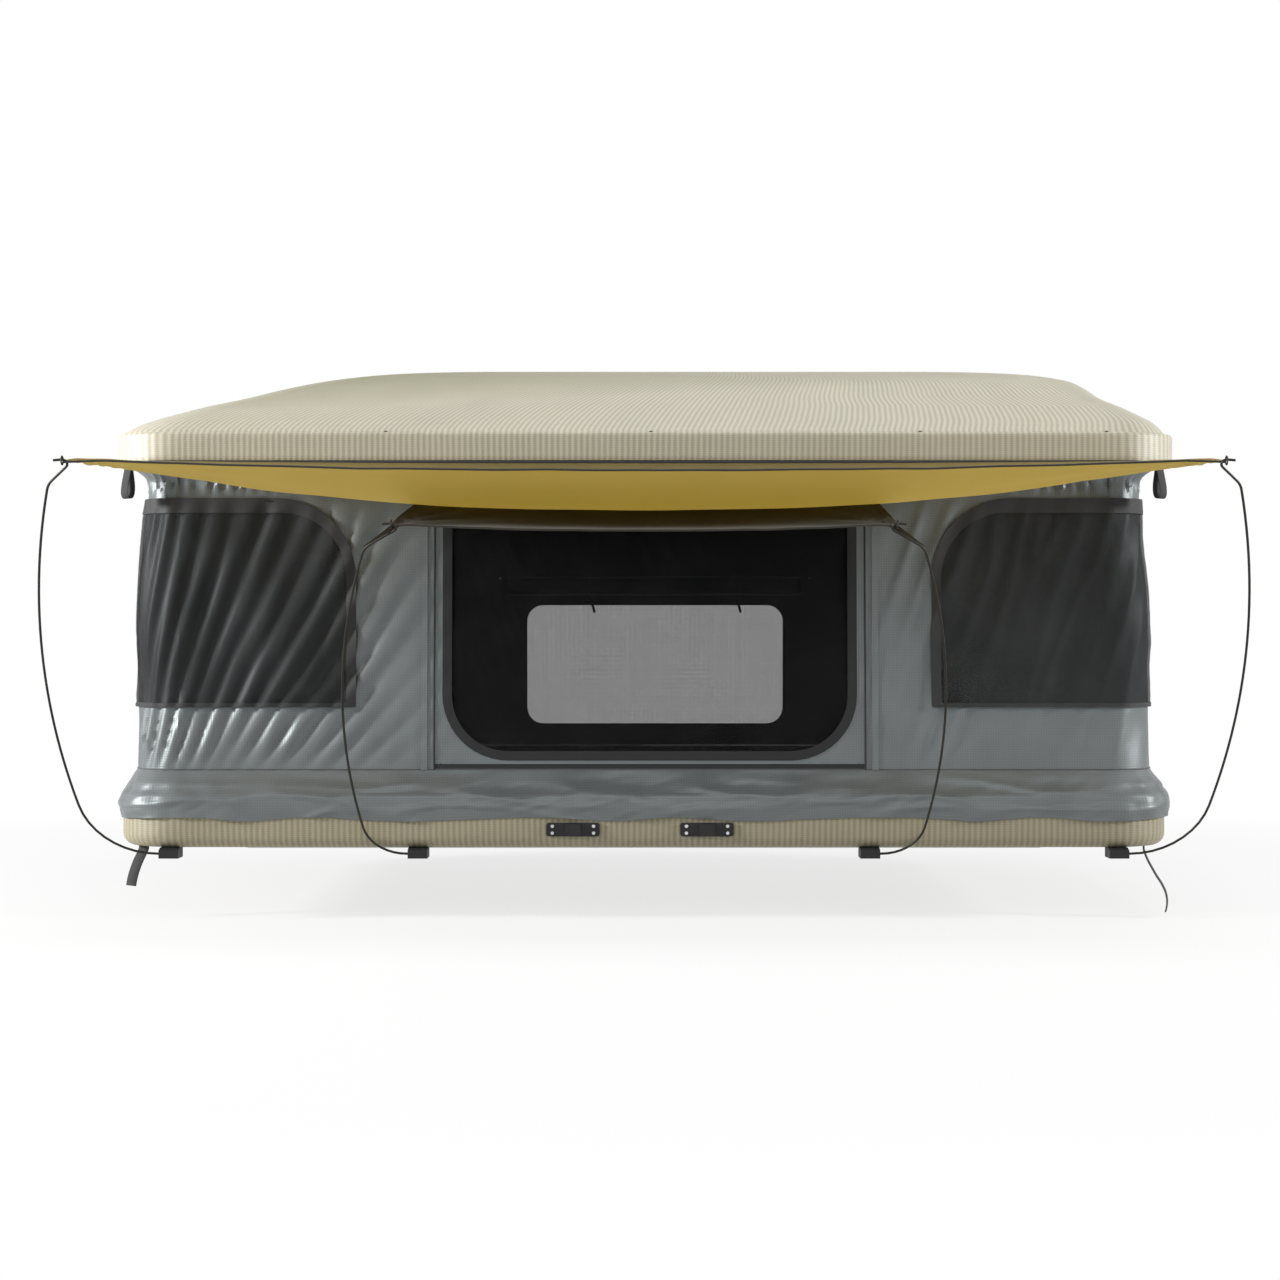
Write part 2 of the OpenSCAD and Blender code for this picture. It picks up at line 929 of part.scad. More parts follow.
// Place and heading after the first n rows of a path that starts at [x, y, heading]
function path_place(path, n, at = [-shank_in, 0, 0], i = 0) =
    i == n ? at :
    let (
        size = path[i][0],
        turn = path[i][1],
        next = at[2] + turn,
        hand = sign(turn),
        move = turn == 0
            ? [size * cos(at[2]), size * sin(at[2])]
            : hand * size * [sin(next) - sin(at[2]), cos(at[2]) - cos(next)]
    )
    path_place(path, n, [at[0] + move[0], at[1] + move[1], next], i + 1);

// Steps of one row: bends by their turn, straight runs in one step
function row_steps(row) = row[1] == 0 ? 1 : ceil(abs(row[1]) / (row[0] > 1000 ? 2.6 : 13));

// Places and headings along a path after its shank
function path_places(path) = [
    for (i = [1:len(path) - 1])
        let (start = path_place(path, i), n = row_steps(path[i]))
        for (k = [1:n])
            let (part = path[i][1] == 0 ? [path[i][0] * k / n, 0] : [path[i][0], path[i][1] * k / n])
            path_place([part], 1, start)
];

function rod_ring(at) =
    let (left = [-sin(at[2]), cos(at[2]), 0], r = pole_radius - seat / 10)
    [for (k = [0:rod_sides - 1]) [at[0], at[1], 0] + r * (cos(360 * k / rod_sides) * left + [0, 0, sin(360 * k / rod_sides)])];

rod_sides = 10;
rod_overlap = 3;

// Round shank with the bent length of the rod growing out of its end
module rod(path) {
    translate([-shank_in, 0, 0])
        bar(shank_in + shank_out, pole_radius);
    loft([for (at = concat([[shank_out - rod_overlap, 0, 0]], path_places(path))) rod_ring(at)]);
}

module pole(path, lean, socket) {
    color(steel_colour)
        translate([socket, socket_y, socket_z])
            rotate([90 + lean, 0, 0])
                rod(path);
}

module pole_outer_right() {
    pole(outer_path, outer_lean, outer_socket);
}

module pole_outer_left() {
    mirror([1, 0, 0])
        pole_outer_right();
}

module pole_inner_right() {
    pole(inner_path, inner_lean, inner_socket);
}

module pole_inner_left() {
    mirror([1, 0, 0])
        pole_inner_right();
}

// Top of a right-hand pole's hook
function hook_place(path, lean, socket) =
    let (at = path_place(path, hook_rows))
    [socket + at[0], socket_y - at[1] * sin(lean), socket_z + at[1] * cos(lean)];

outer_hook = hook_place(outer_path, outer_lean, outer_socket);
inner_hook = hook_place(inner_path, inner_lean, inner_socket);

module pole_sockets() {
    color(black_colour)
        for (side = [-1, 1])
            for (x = [outer_socket, inner_socket])
                at_end(side)
                    translate([x, socket_y, 0])
                        difference() {
                            translate([-socket_half, -socket_front, 1])
                                cube([2 * socket_half, socket_front + socket_back, base_low - 1]);
                            translate([-shank_in - 0.5, 0, socket_z])
                                bar(shank_in + socket_half + 1, pole_radius + pin_clearance);
                            translate([-socket_half - 1, -socket_front - 1, base_low - 3])
                                cube([2 * socket_half + 2, socket_front - 3, 4]);
                        }
}

// Eyelet round a hook, standing across the rod
eyelet_radius = 8;
eyelet_wire = 1.5;
eyelet_back = 3;
eyelet_drop = 1.6;

module eyelet(hook) {
    translate(hook + [0, eyelet_back, -eyelet_drop])
        rotate([0, 90, 0])
            rotate_extrude()
                translate([eyelet_radius, 0])
                    circle(eyelet_wire, $fn = 16);
}

// Where the cloth meets an eyelet
function eyelet_edge(hook) =
    hook + [0, eyelet_back + eyelet_radius + eyelet_wire + running, -eyelet_drop];

// Cloth: closed sheets between an outer and an inner grid of points

// Evenly spaced values from a to b
function steps(a, b, n) = [for (k = [0:n]) a + (b - a) * k / n];

// Values without the first one, for joining runs that share an end
function tail(list) = [for (k = [1:len(list) - 1]) list[k]];

module sheet(outer, inner) {
    rows = len(outer);
    cols = len(outer[0]);
    n = rows * cols;
    polyhedron(
        points = concat([for (r = outer) each r], [for (r = inner) each r]),
        faces = concat(
            [
                for (r = [0:rows - 2])
                    for (c = [0:cols - 2])
                        let (a = r * cols + c, b = a + 1, d = a + cols, e = d + 1)
                        each [[a, d, e], [a, e, b], [n + a, n + e, n + d], [n + a, n + b, n + e]]
            ],
            [
                for (c = [0:cols - 2])
                    let (a = c, b = a + 1, d = (rows - 1) * cols + c, e = d + 1)
                    each [[a, b, n + b], [a, n + b, n + a], [e, d, n + d], [e, n + d, n + e]]
            ],
            [
                for (r = [0:rows - 2])
                    let (a = r * cols, d = a + cols, b = a + cols - 1, e = d + cols - 1)
                    each [[d, a, n + a], [d, n + a, n + d], [b, e, n + e], [b, n + e, n + b]]
            ]
        )
    );
}

wall_x = base_x - wall_inset;
wall_y = base_y - wall_inset;
wall_corner = base_corner - wall_inset;
straight_x = wall_x - wall_corner;
straight_y = wall_y - wall_corner;
brow = lid_level - 41;
wall_top = seal_low - 2 * seat;
flare = lid_overhang + wall_inset - seal_out + 2;
window_rows = 6;
window_levels = steps(window_low, window_high, window_rows);
wall_levels = concat(
    steps(skirt_level + seat, window_low, 2),
    tail(window_levels),
    [brow, (brow + 2 * wall_top) / 3, wall_top]
);

// How far the wall stands outside its foot line at height z
function wall_lean(z) =
    z < brow
        ? -wall_taper * (z - skirt_level) / (brow - skirt_level)
        : -wall_taper + (flare + wall_taper) * pow((z - brow) / (wall_top - brow), 2);

// Main folds: slack between the seams, flat at the door and at the rear window
function wall_fold(s, z) =
    let (
        rise = (z - skirt_level) / (brow - skirt_level),
        slack = rise > 0 && rise < 1 ? sin(180 * rise) : 0,
        spread = min(1, 0.12 + max(0, s - door_width / 2) / 260)
    )
    fold_depth * slack * spread
        * (0.6 * sin(360 * (s / 410 + z / 800)) + 0.4 * sin(360 * (s / 260 - z / 640)));

// A station is a foot point, its outward direction and the place along the wall
function front_station(x) = [[x, -wall_y], [0, -1], abs(x)];
function rear_station(x) = [[x, wall_y], [0, 1], abs(x)];
function end_station(y) = [[wall_x, y], [1, 0], straight_x + wall_corner * PI / 2 + straight_y - abs(y)];
function corner_station(side, a) =
    let (v = [cos(a), sin(a)])
    [[straight_x, side * straight_y] + wall_corner * v, v, straight_x + wall_corner * (90 - abs(a)) * PI / 180];

function wall_point(station, z, out) =
    let (p = station[0] + station[1] * (wall_lean(z) + wall_fold(station[2], z) + out))
    [p.x, p.y, z];

// Cloth panel along stations and levels, standing out from the wall surface
module panel(stations, levels, out = 0, thickness = cloth) {
    sheet(
        [for (z = levels) [for (s = stations) wall_point(s, z, out + thickness / 2)]],
        [for (z = levels) [for (s = stations) wall_point(s, z, out - thickness / 2)]]
    );
}

window_cols = 6;
window_run = steps(straight_x, window_reach, window_cols);
corner_run = steps(0, 90, 4);
end_run = steps(-straight_y, straight_y, 10);
end_stations = concat(
    [for (a = corner_run) corner_station(-1, a - 90)],
    [for (y = tail(end_run)) end_station(y)],
    [for (a = tail(corner_run)) corner_station(1, a)]
);
door_left = door_shift - door_width / 2;
door_right = door_shift + door_width / 2;
zip_width = 12;

function reversed(list) = [for (k = [len(list) - 1:-1:0]) list[k]];

// Right-hand front panel from the given door edge to the corner
module front_wall(edge) {
    xs = concat(steps(edge + seat, window_reach, 3), tail(reversed(window_run)));
    color(grey_cloth)
        panel([for (x = xs) front_station(x)], wall_levels);
}

module front_wall_left() {
    mirror([1, 0, 0])
        front_wall(-door_left);
}

module front_wall_right() {
    front_wall(door_right);
}

module front_header() {
    xs = steps(door_left, door_right, 12);
    color(grey_cloth)
        panel([for (x = xs) front_station(x)], [brow + seat, wall_levels[len(wall_levels) - 2], wall_top]);
}

rear_left = -312;
rear_right = 372;
rear_low = 216;
rear_high = 553;

// Right-hand rear panel from the corner to the given window edge
module rear_side(edge) {
    xs = concat(window_run, tail(steps(window_reach, edge + seat, 3)));
    panel([for (x = xs) rear_station(x)], wall_levels);
}

module rear_wall() {
    rear_cols = steps(rear_right, rear_left, 10);
    levels_above = concat(
        steps(rear_high + seat, window_high, 3),
        [brow, wall_levels[len(wall_levels) - 2], wall_top]
    );
    color(grey_cloth) {
        rear_side(rear_right);
        mirror([1, 0, 0])
            rear_side(-rear_left);
        panel([for (x = rear_cols) rear_station(x)], [skirt_level + seat, rear_low - seat]);
        panel([for (x = rear_cols) rear_station(x)], levels_above);
    }
}

module end_wall_right() {
    trimmed = concat(
        [corner_station(-1, -90 + seat / 2)],
        [for (k = [1:len(end_stations) - 2]) end_stations[k]],
        [corner_station(1, 90 - seat / 2)]
    );
    color(grey_cloth)
        panel(trimmed, wall_levels);
}

module end_wall_left() {
    mirror([1, 0, 0])
        end_wall_right();
}

skirt_hem = 81;
// Rows of the skirt: height, then how far it stands inside the base outline
skirt_rows = [
    [skirt_hem, -2.6],
    [base_top - 16, -5],
    [base_top + 2, -4.6],
    [base_top + 10, -1],
    [base_top + 28, wall_inset * 0.45],
    [skirt_level - seat, wall_inset]
];

module skirt() {
    last = len(skirt_rows) - 1;
    color(grey_cloth)
        hoop(concat(
            [for (r = skirt_rows) base_ring(r[1] - cloth / 2, r[0])],
            [for (k = [last:-1:0]) base_ring(skirt_rows[k][1] + cloth / 2, skirt_rows[k][0])]
        ));
}

mesh = 1;
mesh_out = cloth / 2 + seat + mesh / 2;

module window_mesh_right() {
    stations = concat(
        [for (x = reversed(window_run)) front_station(x)],
        tail(end_stations),
        [for (x = tail(window_run)) rear_station(x)]
    );
    color(dark_cloth)
        panel(stations, window_levels, mesh_out, mesh);
}

module window_mesh_left() {
    mirror([1, 0, 0])
        window_mesh_right();
}

door_low = skirt_level + zip_width;
door_rows = 5;

module door_mesh() {
    xs = steps(door_left + zip_width + seat, door_right - zip_width - seat, 8);
    color(dark_cloth)
        panel([for (x = xs) front_station(x)], steps(door_low + seat, brow, door_rows), 0, mesh);
}

module door_zips() {
    levels = steps(door_low + seat, brow, door_rows);
    color(black_colour) {
        panel([for (x = [door_left, door_left + zip_width]) front_station(x)], levels, 0, 2);
        panel([for (x = [door_right - zip_width, door_right]) front_station(x)], levels, 0, 2);
        panel([for (x = steps(door_left, door_right, 12)) front_station(x)], [skirt_level + seat, door_low], 0, 2);
    }
}

module rear_window_mesh() {
    xs = steps(rear_right - seat, rear_left + seat, 10);
    color(dark_cloth)
        panel([for (x = xs) rear_station(x)], steps(rear_low, rear_high, 4), 0, mesh);
}

flap_radius = 24;
flap_z = rear_high + flap_radius + 6;
flap_y = wall_y + wall_lean(flap_z) - flap_radius - 3;
toggle_places = [-134, 233];

module rear_flap() {
    color(dark_cloth)
        translate([rear_left, flap_y, flap_z])
            bar(rear_right - rear_left, flap_radius);
}

module flap_toggles() {
    strap_width = 12;
    strap = 1.6;
    drop = 40;
    toggle_radius = 4;
    toggle_length = 34;
    color(black_colour)
        for (x = toggle_places)
            translate([x, flap_y, flap_z]) {
                translate([-strap_width / 2, 0, 0])
                    difference() {
                        bar(strap_width, flap_radius + seat + strap);
                        translate([-1, 0, 0])
                            bar(strap_width + 2, flap_radius + seat);
                    }
                translate([-strap_width / 2, -flap_radius - seat - strap, -drop])
                    cube([strap_width, strap, drop]);
                translate([-toggle_length / 2, -flap_radius - seat - strap - toggle_radius, -drop])
                    bar(toggle_length, toggle_radius);
            }
}

// Awnings

awning_back_y = -lid_y + 4;
awning_back_z = lid_level - 2 * seat - cloth / 2;
awning_corner_gap = 92;
awning_back_x = lid_x - awning_corner_gap;
rim_radius = lid_corner - 4;
rim_straight = lid_x - lid_corner;

// Line of the lid's lower edge at x
function rim_line(x) =
    let (over = max(0, abs(x) - rim_straight))
    awning_back_y + rim_radius - sqrt(rim_radius * rim_radius - over * over);

function mix(a, b, t) = a + (b - a) * t;

// Long awning: u runs along the length from -1 to 1, v from the lid to the front edge
function long_awning_point(u, v, out) =
    let (
        edge = eyelet_edge(outer_hook),
        back = [u * awning_back_x, rim_line(u * awning_back_x), awning_back_z],
        front = [u * edge.x, edge.y + 14 * (1 - u * u), edge.z - 14 * (1 - u * u)],
        belly = awning_sag * (1 - pow(abs(u), 2.5)) * sin(180 * pow(v, 0.85))
    )
    mix(back, front, v) - [0, 0, belly + out];

awning_cols = steps(-1, 1, 24);
awning_rows = steps(0, 1, 8);

module main_awning() {
    color(gold_cloth) {
        sheet(
            [for (v = awning_rows) [for (u = awning_cols) long_awning_point(u, v, cloth / 2)]],
            [for (v = awning_rows) [for (u = awning_cols) long_awning_point(u, v, -cloth / 2)]]
        );
        for (side = [-1, 1])
            at_end(side)
                eyelet(outer_hook);
    }
}

door_awning_gap = 6;
door_awning_back = door_width / 2 - door_awning_gap;
door_awning_z = brow - 8;
door_awning_sag = 26;

function door_awning_point(u, v, out) =
    let (
        edge = eyelet_edge(inner_hook),
        x = u * door_awning_back,
        back = [x + door_shift * (1 - v), -wall_y - wall_lean(door_awning_z) - 4, door_awning_z],
        front = [u * edge.x, edge.y + 10 * (1 - u * u), edge.z - 8 * (1 - u * u)],
        belly = door_awning_sag * (1 - u * u) * sin(180 * v)
    )
    mix(back, front, v) - [0, 0, belly + out];

module door_awning() {
    cols = steps(-1, 1, 14);
    rows = steps(0, 1, 6);
    color("#6e6140") {
        sheet(
            [for (v = rows) [for (u = cols) door_awning_point(u, v, cloth / 2)]],
            [for (v = rows) [for (u = cols) door_awning_point(u, v, -cloth / 2)]]
        );
        for (side = [-1, 1])
            at_end(side)
                eyelet(inner_hook);
    }
}

base_shell();
floor_panel();
mattress();
mounting_rail_front();
mounting_rail_rear();
rail_end_caps();
rail_bolts();
base_pivots();
base_tracks();
strut_feet();
ladder_bracket_left();
ladder_bracket_right();
bracket_screws();
pole_sockets();
closing_strap_left();
closing_strap_right();
lift_arm_left();
lift_arm_right();
cross_arm_left();
cross_arm_right();
lift_fittings_left();
lift_fittings_right();
cross_glide_left();
cross_glide_right();
strut_cylinder_left();
strut_cylinder_right();
strut_rod_left();
strut_rod_right();
lid_shell();
lid_frame();
lid_liner();
lid_seal();
lid_rivets();
lid_crossbars();
lid_tracks();
lid_pivots();
lid_loop_left();
lid_loop_right();
front_wall_left();
front_wall_right();
front_header();
rear_wall();
end_wall_left();
end_wall_right();
skirt();
window_mesh_left();
window_mesh_right();
door_mesh();
door_zips();
rear_window_mesh();
rear_flap();
flap_toggles();
main_awning();
door_awning();
pole_outer_left();
pole_inner_left();
pole_inner_right();
pole_outer_right();
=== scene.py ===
import math
from collections import namedtuple

import bpy
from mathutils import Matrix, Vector, noise


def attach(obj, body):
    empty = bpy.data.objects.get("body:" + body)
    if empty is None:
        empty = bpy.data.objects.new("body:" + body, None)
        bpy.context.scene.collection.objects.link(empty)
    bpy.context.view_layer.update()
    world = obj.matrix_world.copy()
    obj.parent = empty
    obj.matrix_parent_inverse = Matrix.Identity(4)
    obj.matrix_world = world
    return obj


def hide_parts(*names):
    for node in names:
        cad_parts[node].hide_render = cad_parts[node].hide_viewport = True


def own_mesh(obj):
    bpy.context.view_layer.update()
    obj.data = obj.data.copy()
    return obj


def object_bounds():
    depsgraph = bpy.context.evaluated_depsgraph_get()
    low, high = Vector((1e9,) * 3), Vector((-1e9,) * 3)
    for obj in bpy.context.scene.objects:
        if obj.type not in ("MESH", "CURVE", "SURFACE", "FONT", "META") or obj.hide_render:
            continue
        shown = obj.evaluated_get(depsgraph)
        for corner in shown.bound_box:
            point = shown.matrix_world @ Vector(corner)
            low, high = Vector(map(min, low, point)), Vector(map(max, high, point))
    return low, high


# Looks of a hard-shell roof top tent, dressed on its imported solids. Lengths are in metres.
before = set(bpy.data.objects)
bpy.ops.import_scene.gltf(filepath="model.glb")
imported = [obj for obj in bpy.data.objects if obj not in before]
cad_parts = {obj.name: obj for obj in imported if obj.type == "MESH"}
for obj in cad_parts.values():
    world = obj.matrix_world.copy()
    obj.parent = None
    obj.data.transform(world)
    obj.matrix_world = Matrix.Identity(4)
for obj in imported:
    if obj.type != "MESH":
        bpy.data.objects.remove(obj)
cad_low, cad_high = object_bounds()
scene = bpy.context.scene
scene.view_settings.view_transform = "Standard"

# Outlines shared by the base, the walls and the lid: one core rectangle grown by a radius
CORE_X = 0.954
CORE_Y = 0.520
BASE_RADIUS = 0.130
WALL_RADIUS = 0.100
LID_RADIUS = 0.146
ARC = WALL_RADIUS * math.pi / 2
END_MIDDLE = CORE_X + ARC + CORE_Y
HALF_ROUND = 2 * END_MIDDLE

# Heights
BASE_LOW = 0.022
BASE_TOP = 0.122
BASE_EDGE = 0.025
SHELL_WALL = 0.006
FLOOR_LOW = BASE_LOW + SHELL_WALL
SKIRT_LEVEL = 0.180
BROW = 0.770
WALL_TOP = 0.8114
LID_LEVEL = 0.811
LEDGE = 0.869
LID_CROWN = 0.161

# Cloth
CLOTH = 0.0016
WALL_TAPER = 0.023
WALL_FLARE = 0.034
FOLD_DEPTH = 0.009
NET_THICKNESS = 0.0009
NET_PROUD = -0.0003

# Door, windows and tapes
DOOR_LEFT = -0.430
DOOR_RIGHT = 0.454
DOOR_LOW = 0.192
ZIP = 0.012
WINDOW_LOW = 0.308
WINDOW_HIGH = 0.738
WINDOW_REACH = 0.590
REAR_LEFT = -0.312
REAR_RIGHT = 0.372
REAR_LOW = 0.216
REAR_HIGH = 0.553
TAPE = 0.019
TAPE_LIFT = 0.0014
WINDOW_TAPE = (0.020, 0.009, 0.031)
SMALL_CORNER = 0.004

# Signs of X at the two ends
SIDES = ((-1, "left"), (1, "right"))


def new_object(name, data):
    thing = bpy.data.objects.new(name, data)
    scene.collection.objects.link(thing)
    return thing


# Camera at the photograph's viewing angle

SENSOR = 36.0
PHOTO_LENS = 71.8
CAMERA_PLACE = (-0.008, -5.85, 0.446)


def make_camera():
    data = bpy.data.cameras.new("camera")
    data.sensor_width = SENSOR
    data.lens = PHOTO_LENS
    camera = new_object("camera", data)
    camera.location = CAMERA_PLACE
    camera.rotation_euler = (math.pi / 2, 0, 0)
    scene.camera = camera


make_camera()


# Materials

class Nodes:
    """The node tree of a material or a world, with short ways to add to it."""

    def __init__(self, owner):
        owner.use_nodes = True
        self.owner = owner
        self.tree = owner.node_tree

    def fill(self, node, values):
        """Inputs by number or name: another node's output is linked, and anything else is set."""
        for key, value in values.items():
            if hasattr(value, "is_output"):
                self.tree.links.new(value, node.inputs[key])
            else:
                node.inputs[key].default_value = value

    def add(self, kind, values=None, **settings):
        node = self.tree.nodes.new("ShaderNode" + kind)
        for key, value in settings.items():
            setattr(node, key, value)
        self.fill(node, values or {})
        return node

    def calc(self, operation, *values):
        return self.add("Math", dict(enumerate(values)), operation=operation).outputs[0]

    def plus(self, a, b):
        return self.calc("ADD", a, b)

    def times(self, a, b):
        return self.calc("MULTIPLY", a, b)

    def place(self, kind="UV"):
        return self.add("TexCoord").outputs[kind]

    def axes(self, place):
        return self.add("SeparateXYZ", {0: place}).outputs

    def waves(self, value, pitch):
        """A sine from 0 to 1 of that pitch along a coordinate."""
        return self.calc("MULTIPLY_ADD", self.calc("SINE", self.times(value, 2 * math.pi / pitch)), 0.5, 0.5)

    def mottle(self, place, scale, detail=4.0):
        return self.add("TexNoise", {"Vector": place, "Scale": scale, "Detail": detail}).outputs[0]

    def tones(self, value, colour, low, high):
        """The colour from dark to light; each end is a value and the colour's share there."""
        node = self.add("ValToRGB", {0: value})
        for stop, (at, share) in zip(node.color_ramp.elements, (low, high)):
            stop.position = at
            stop.color = (*(c * share for c in colour), 1)
        return node.outputs[0]

    def bump(self, height, strength, distance):
        return self.add("Bump", {"Height": height, "Strength": strength, "Distance": distance}).outputs[0]

    def seen(self):
        """1 for rays of the camera, of reflections and through glass, and 0 for others."""
        path = self.add("LightPath").outputs
        direct = self.calc("MAXIMUM", path["Is Camera Ray"], path["Is Glossy Ray"])
        return self.calc("MAXIMUM", direct, path["Is Transmission Ray"])

    def paint(self, colour, roughness, normal, metallic=0.0, specular=0.5, sheen=0.0, alpha=1.0):
        """Sets the shader and gives the material."""
        self.fill(self.tree.nodes["Principled BSDF"], {
            "Base Color": colour, "Roughness": roughness, "Normal": normal, "Metallic": metallic,
            "Specular IOR Level": specular, "Sheen Weight": sheen, "Alpha": alpha,
        })
        return self.owner


def new_nodes(name, kind="UV"):
    """A new material's nodes, the place on its surface and that place's axes."""
    nodes = Nodes(bpy.data.materials.new(name))
    place = nodes.place(kind)
    return nodes, place, nodes.axes(place)


# Pitches of ribs and threads
RIB_PITCH = 0.0118
LINE_PITCH = 0.0046
MESH_PITCH = 0.0022
WEBBING_PITCH = 0.0026
CHEVRON = 0.004

# Painted shade on the lid's top, a darker olive standing in for the crown's shading: its slope along X, and
# the heights between which it comes in
TOP_SHADE_SLOPE = 0.045
TOP_SHADE_LOW = 0.955
TOP_SHADE_HIGH = 1.040


def moulding_material(name, colour, top=None):
    """Tan moulding embossed with fine upright ribs crossed by a finer line; painted shade darkens its colour
    in the grooves and a painted highlight lightens the ribs.
    """
    nodes, place, axis = new_nodes(name)
    drift = nodes.times(nodes.mottle(place, 2.5, 1.0), 0.010)
    rib = nodes.waves(nodes.plus(axis[0], drift), RIB_PITCH)
    line = nodes.waves(nodes.plus(axis[1], drift), LINE_PITCH)
    relief = nodes.plus(nodes.times(rib, 0.72), nodes.times(line, 0.28))
    # Painted shade and highlight: the colour follows the relief, darker in the grooves and lighter on the
    # ribs, with a random mottle
    tone = nodes.plus(nodes.times(relief, 0.7), nodes.times(nodes.mottle(place, 6.0), 0.3))
    tinted = nodes.tones(tone, colour, (0.2, 0.74), (0.8, 1.14))
    # Painted shade: with a top colour, the colour turns to it above a height that slopes along X, standing in
    # for the crown's shading
    if top:
        spot = nodes.axes(nodes.place("Object"))
        height = nodes.calc("SUBTRACT", spot[2], nodes.times(spot[0], TOP_SHADE_SLOPE))
        share = nodes.add("MapRange", {0: height, 1: TOP_SHADE_LOW, 2: TOP_SHADE_HIGH}).outputs[0]
        tinted = nodes.add("Mix", {"Factor": share, 6: tinted, 7: (*top, 1)}, data_type="RGBA").outputs[2]
    rough = nodes.plus(nodes.times(nodes.mottle(place, 40.0), 0.2), 0.40)
    return nodes.paint(tinted, rough, nodes.bump(relief, 0.4, 0.0012))


def cloth_material(name, colour, pitch, sheen, roughness, strength=0.25, silver=0.0, kind="UV"):
    """Coated ripstop: a fine square grid of thicker threads, mottled, with a sheen."""
    nodes, place, axis = new_nodes(name, kind)
    fine = nodes.times(nodes.plus(nodes.waves(axis[0], pitch), nodes.waves(axis[1], pitch)), 0.5)
    cloud = nodes.mottle(place, 9.0)
    tone = nodes.calc("MULTIPLY_ADD", cloud, 0.6, nodes.times(fine, 0.4))
    tinted = nodes.tones(tone, colour, (0.2, 0.82), (0.8, 1.16))
    rough = nodes.calc("MULTIPLY_ADD", cloud, 0.16, roughness)
    return nodes.paint(tinted, rough, nodes.bump(fine, strength, 0.0004), silver, 0.3, sheen)


def mesh_material(name, colour, opening):
    """Woven mesh: dark threads with a see-through share between them."""
    nodes, place, axis = new_nodes(name)
    threads = nodes.calc("MAXIMUM", nodes.waves(axis[0], MESH_PITCH), nodes.waves(axis[1], MESH_PITCH))
    tinted = nodes.tones(nodes.mottle(place, 14.0), colour, (0.3, 0.7), (0.7, 1.4))
    solid = nodes.plus(nodes.times(threads, 0.24), 0.84 - opening)
    return nodes.paint(tinted, 0.7, nodes.bump(threads, 0.3, 0.0003), specular=0.15, alpha=solid)


def metal_material(name, colour, roughness, metallic=1.0):
    """Metal, or with no metallic share paint, rubber or plastic, with a fine grain."""
    nodes, place, _ = new_nodes(name, "Object")
    grain = nodes.mottle(place, 220.0, 2.0)
    tinted = nodes.tones(nodes.mottle(place, 12.0), colour, (0.3, 0.8), (0.7, 1.15))
    rough = nodes.calc("MULTIPLY_ADD", grain, 0.2, roughness)
    return nodes.paint(tinted, rough, nodes.bump(grain, 0.08, 0.0002), metallic, 0.3)


def webbing_material(name, colour):
    """Flat woven webbing with chevron ribs."""
    nodes, _, axis = new_nodes(name)
    rib = nodes.waves(nodes.plus(axis[1], nodes.calc("PINGPONG", axis[0], CHEVRON)), WEBBING_PITCH)
    tinted = nodes.tones(rib, colour, (0.1, 0.6), (0.9, 1.6))
    return nodes.paint(tinted, 0.75, nodes.bump(rib, 0.5, 0.0004))


def wood_material(name, colour):
    """Plywood with its grain along the tent."""
    nodes, place, _ = new_nodes(name, "Object")
    drawn_out = nodes.add("Mapping", {"Vector": place, "Scale": (2.0, 30.0, 30.0)}).outputs[0]
    grain = nodes.mottle(drawn_out, 3.0, 8.0)
    tinted = nodes.tones(grain, colour, (0.3, 0.7), (0.7, 1.2))
    return nodes.paint(tinted, 0.6, nodes.bump(grain, 0.15, 0.0006))


LIGHT_THROUGH = 0.65


def gold_material(name, colour, glow):
    """Coated awning cloth: lets part of the light through."""
    nodes = Nodes(cloth_material(name, colour, 0.0045, 0.15, 0.5))
    shader = nodes.tree.nodes["Principled BSDF"].outputs[0]
    through = nodes.add("BsdfTranslucent", {"Color": (*glow, 1)}).outputs[0]
    mixed = nodes.add("MixShader", {0: LIGHT_THROUGH, 1: shader, 2: through}).outputs[0]
    nodes.fill(nodes.tree.nodes["Material Output"], {0: mixed})
    return nodes.owner


# The lid's third colour is the painted shade on its top, a darker olive standing in for the crown's shading
lid_tan = moulding_material("lid_tan", (0.50, 0.47, 0.37), (0.25, 0.24, 0.145))
base_tan = moulding_material("base_tan", (0.285, 0.254, 0.170))
silver_cloth = cloth_material("silver_cloth", (0.136, 0.151, 0.154), 0.0052, 0.1, 0.36, 0.3, 0.38)
lining_cloth = cloth_material("lining_cloth", (0.016, 0.016, 0.017), 0.004, 0.1, 0.7)
door_mesh_cloth = mesh_material("door_mesh_cloth", (0.012, 0.012, 0.013), 0.70)
rear_mesh_cloth = mesh_material("rear_mesh_cloth", (0.17, 0.17, 0.075), 0.66)
window_mesh_cloth = mesh_material("window_mesh_cloth", (0.018, 0.018, 0.019), 0.58)
grey_tape = cloth_material("grey_tape", (0.020, 0.020, 0.021), 0.002, 0.15, 0.55)
black_tape = cloth_material("black_tape", (0.012, 0.012, 0.0125), 0.002, 0.1, 0.6)
gold_cloth = gold_material("gold_cloth", (0.35, 0.29, 0.113), (0.64, 0.53, 0.205))
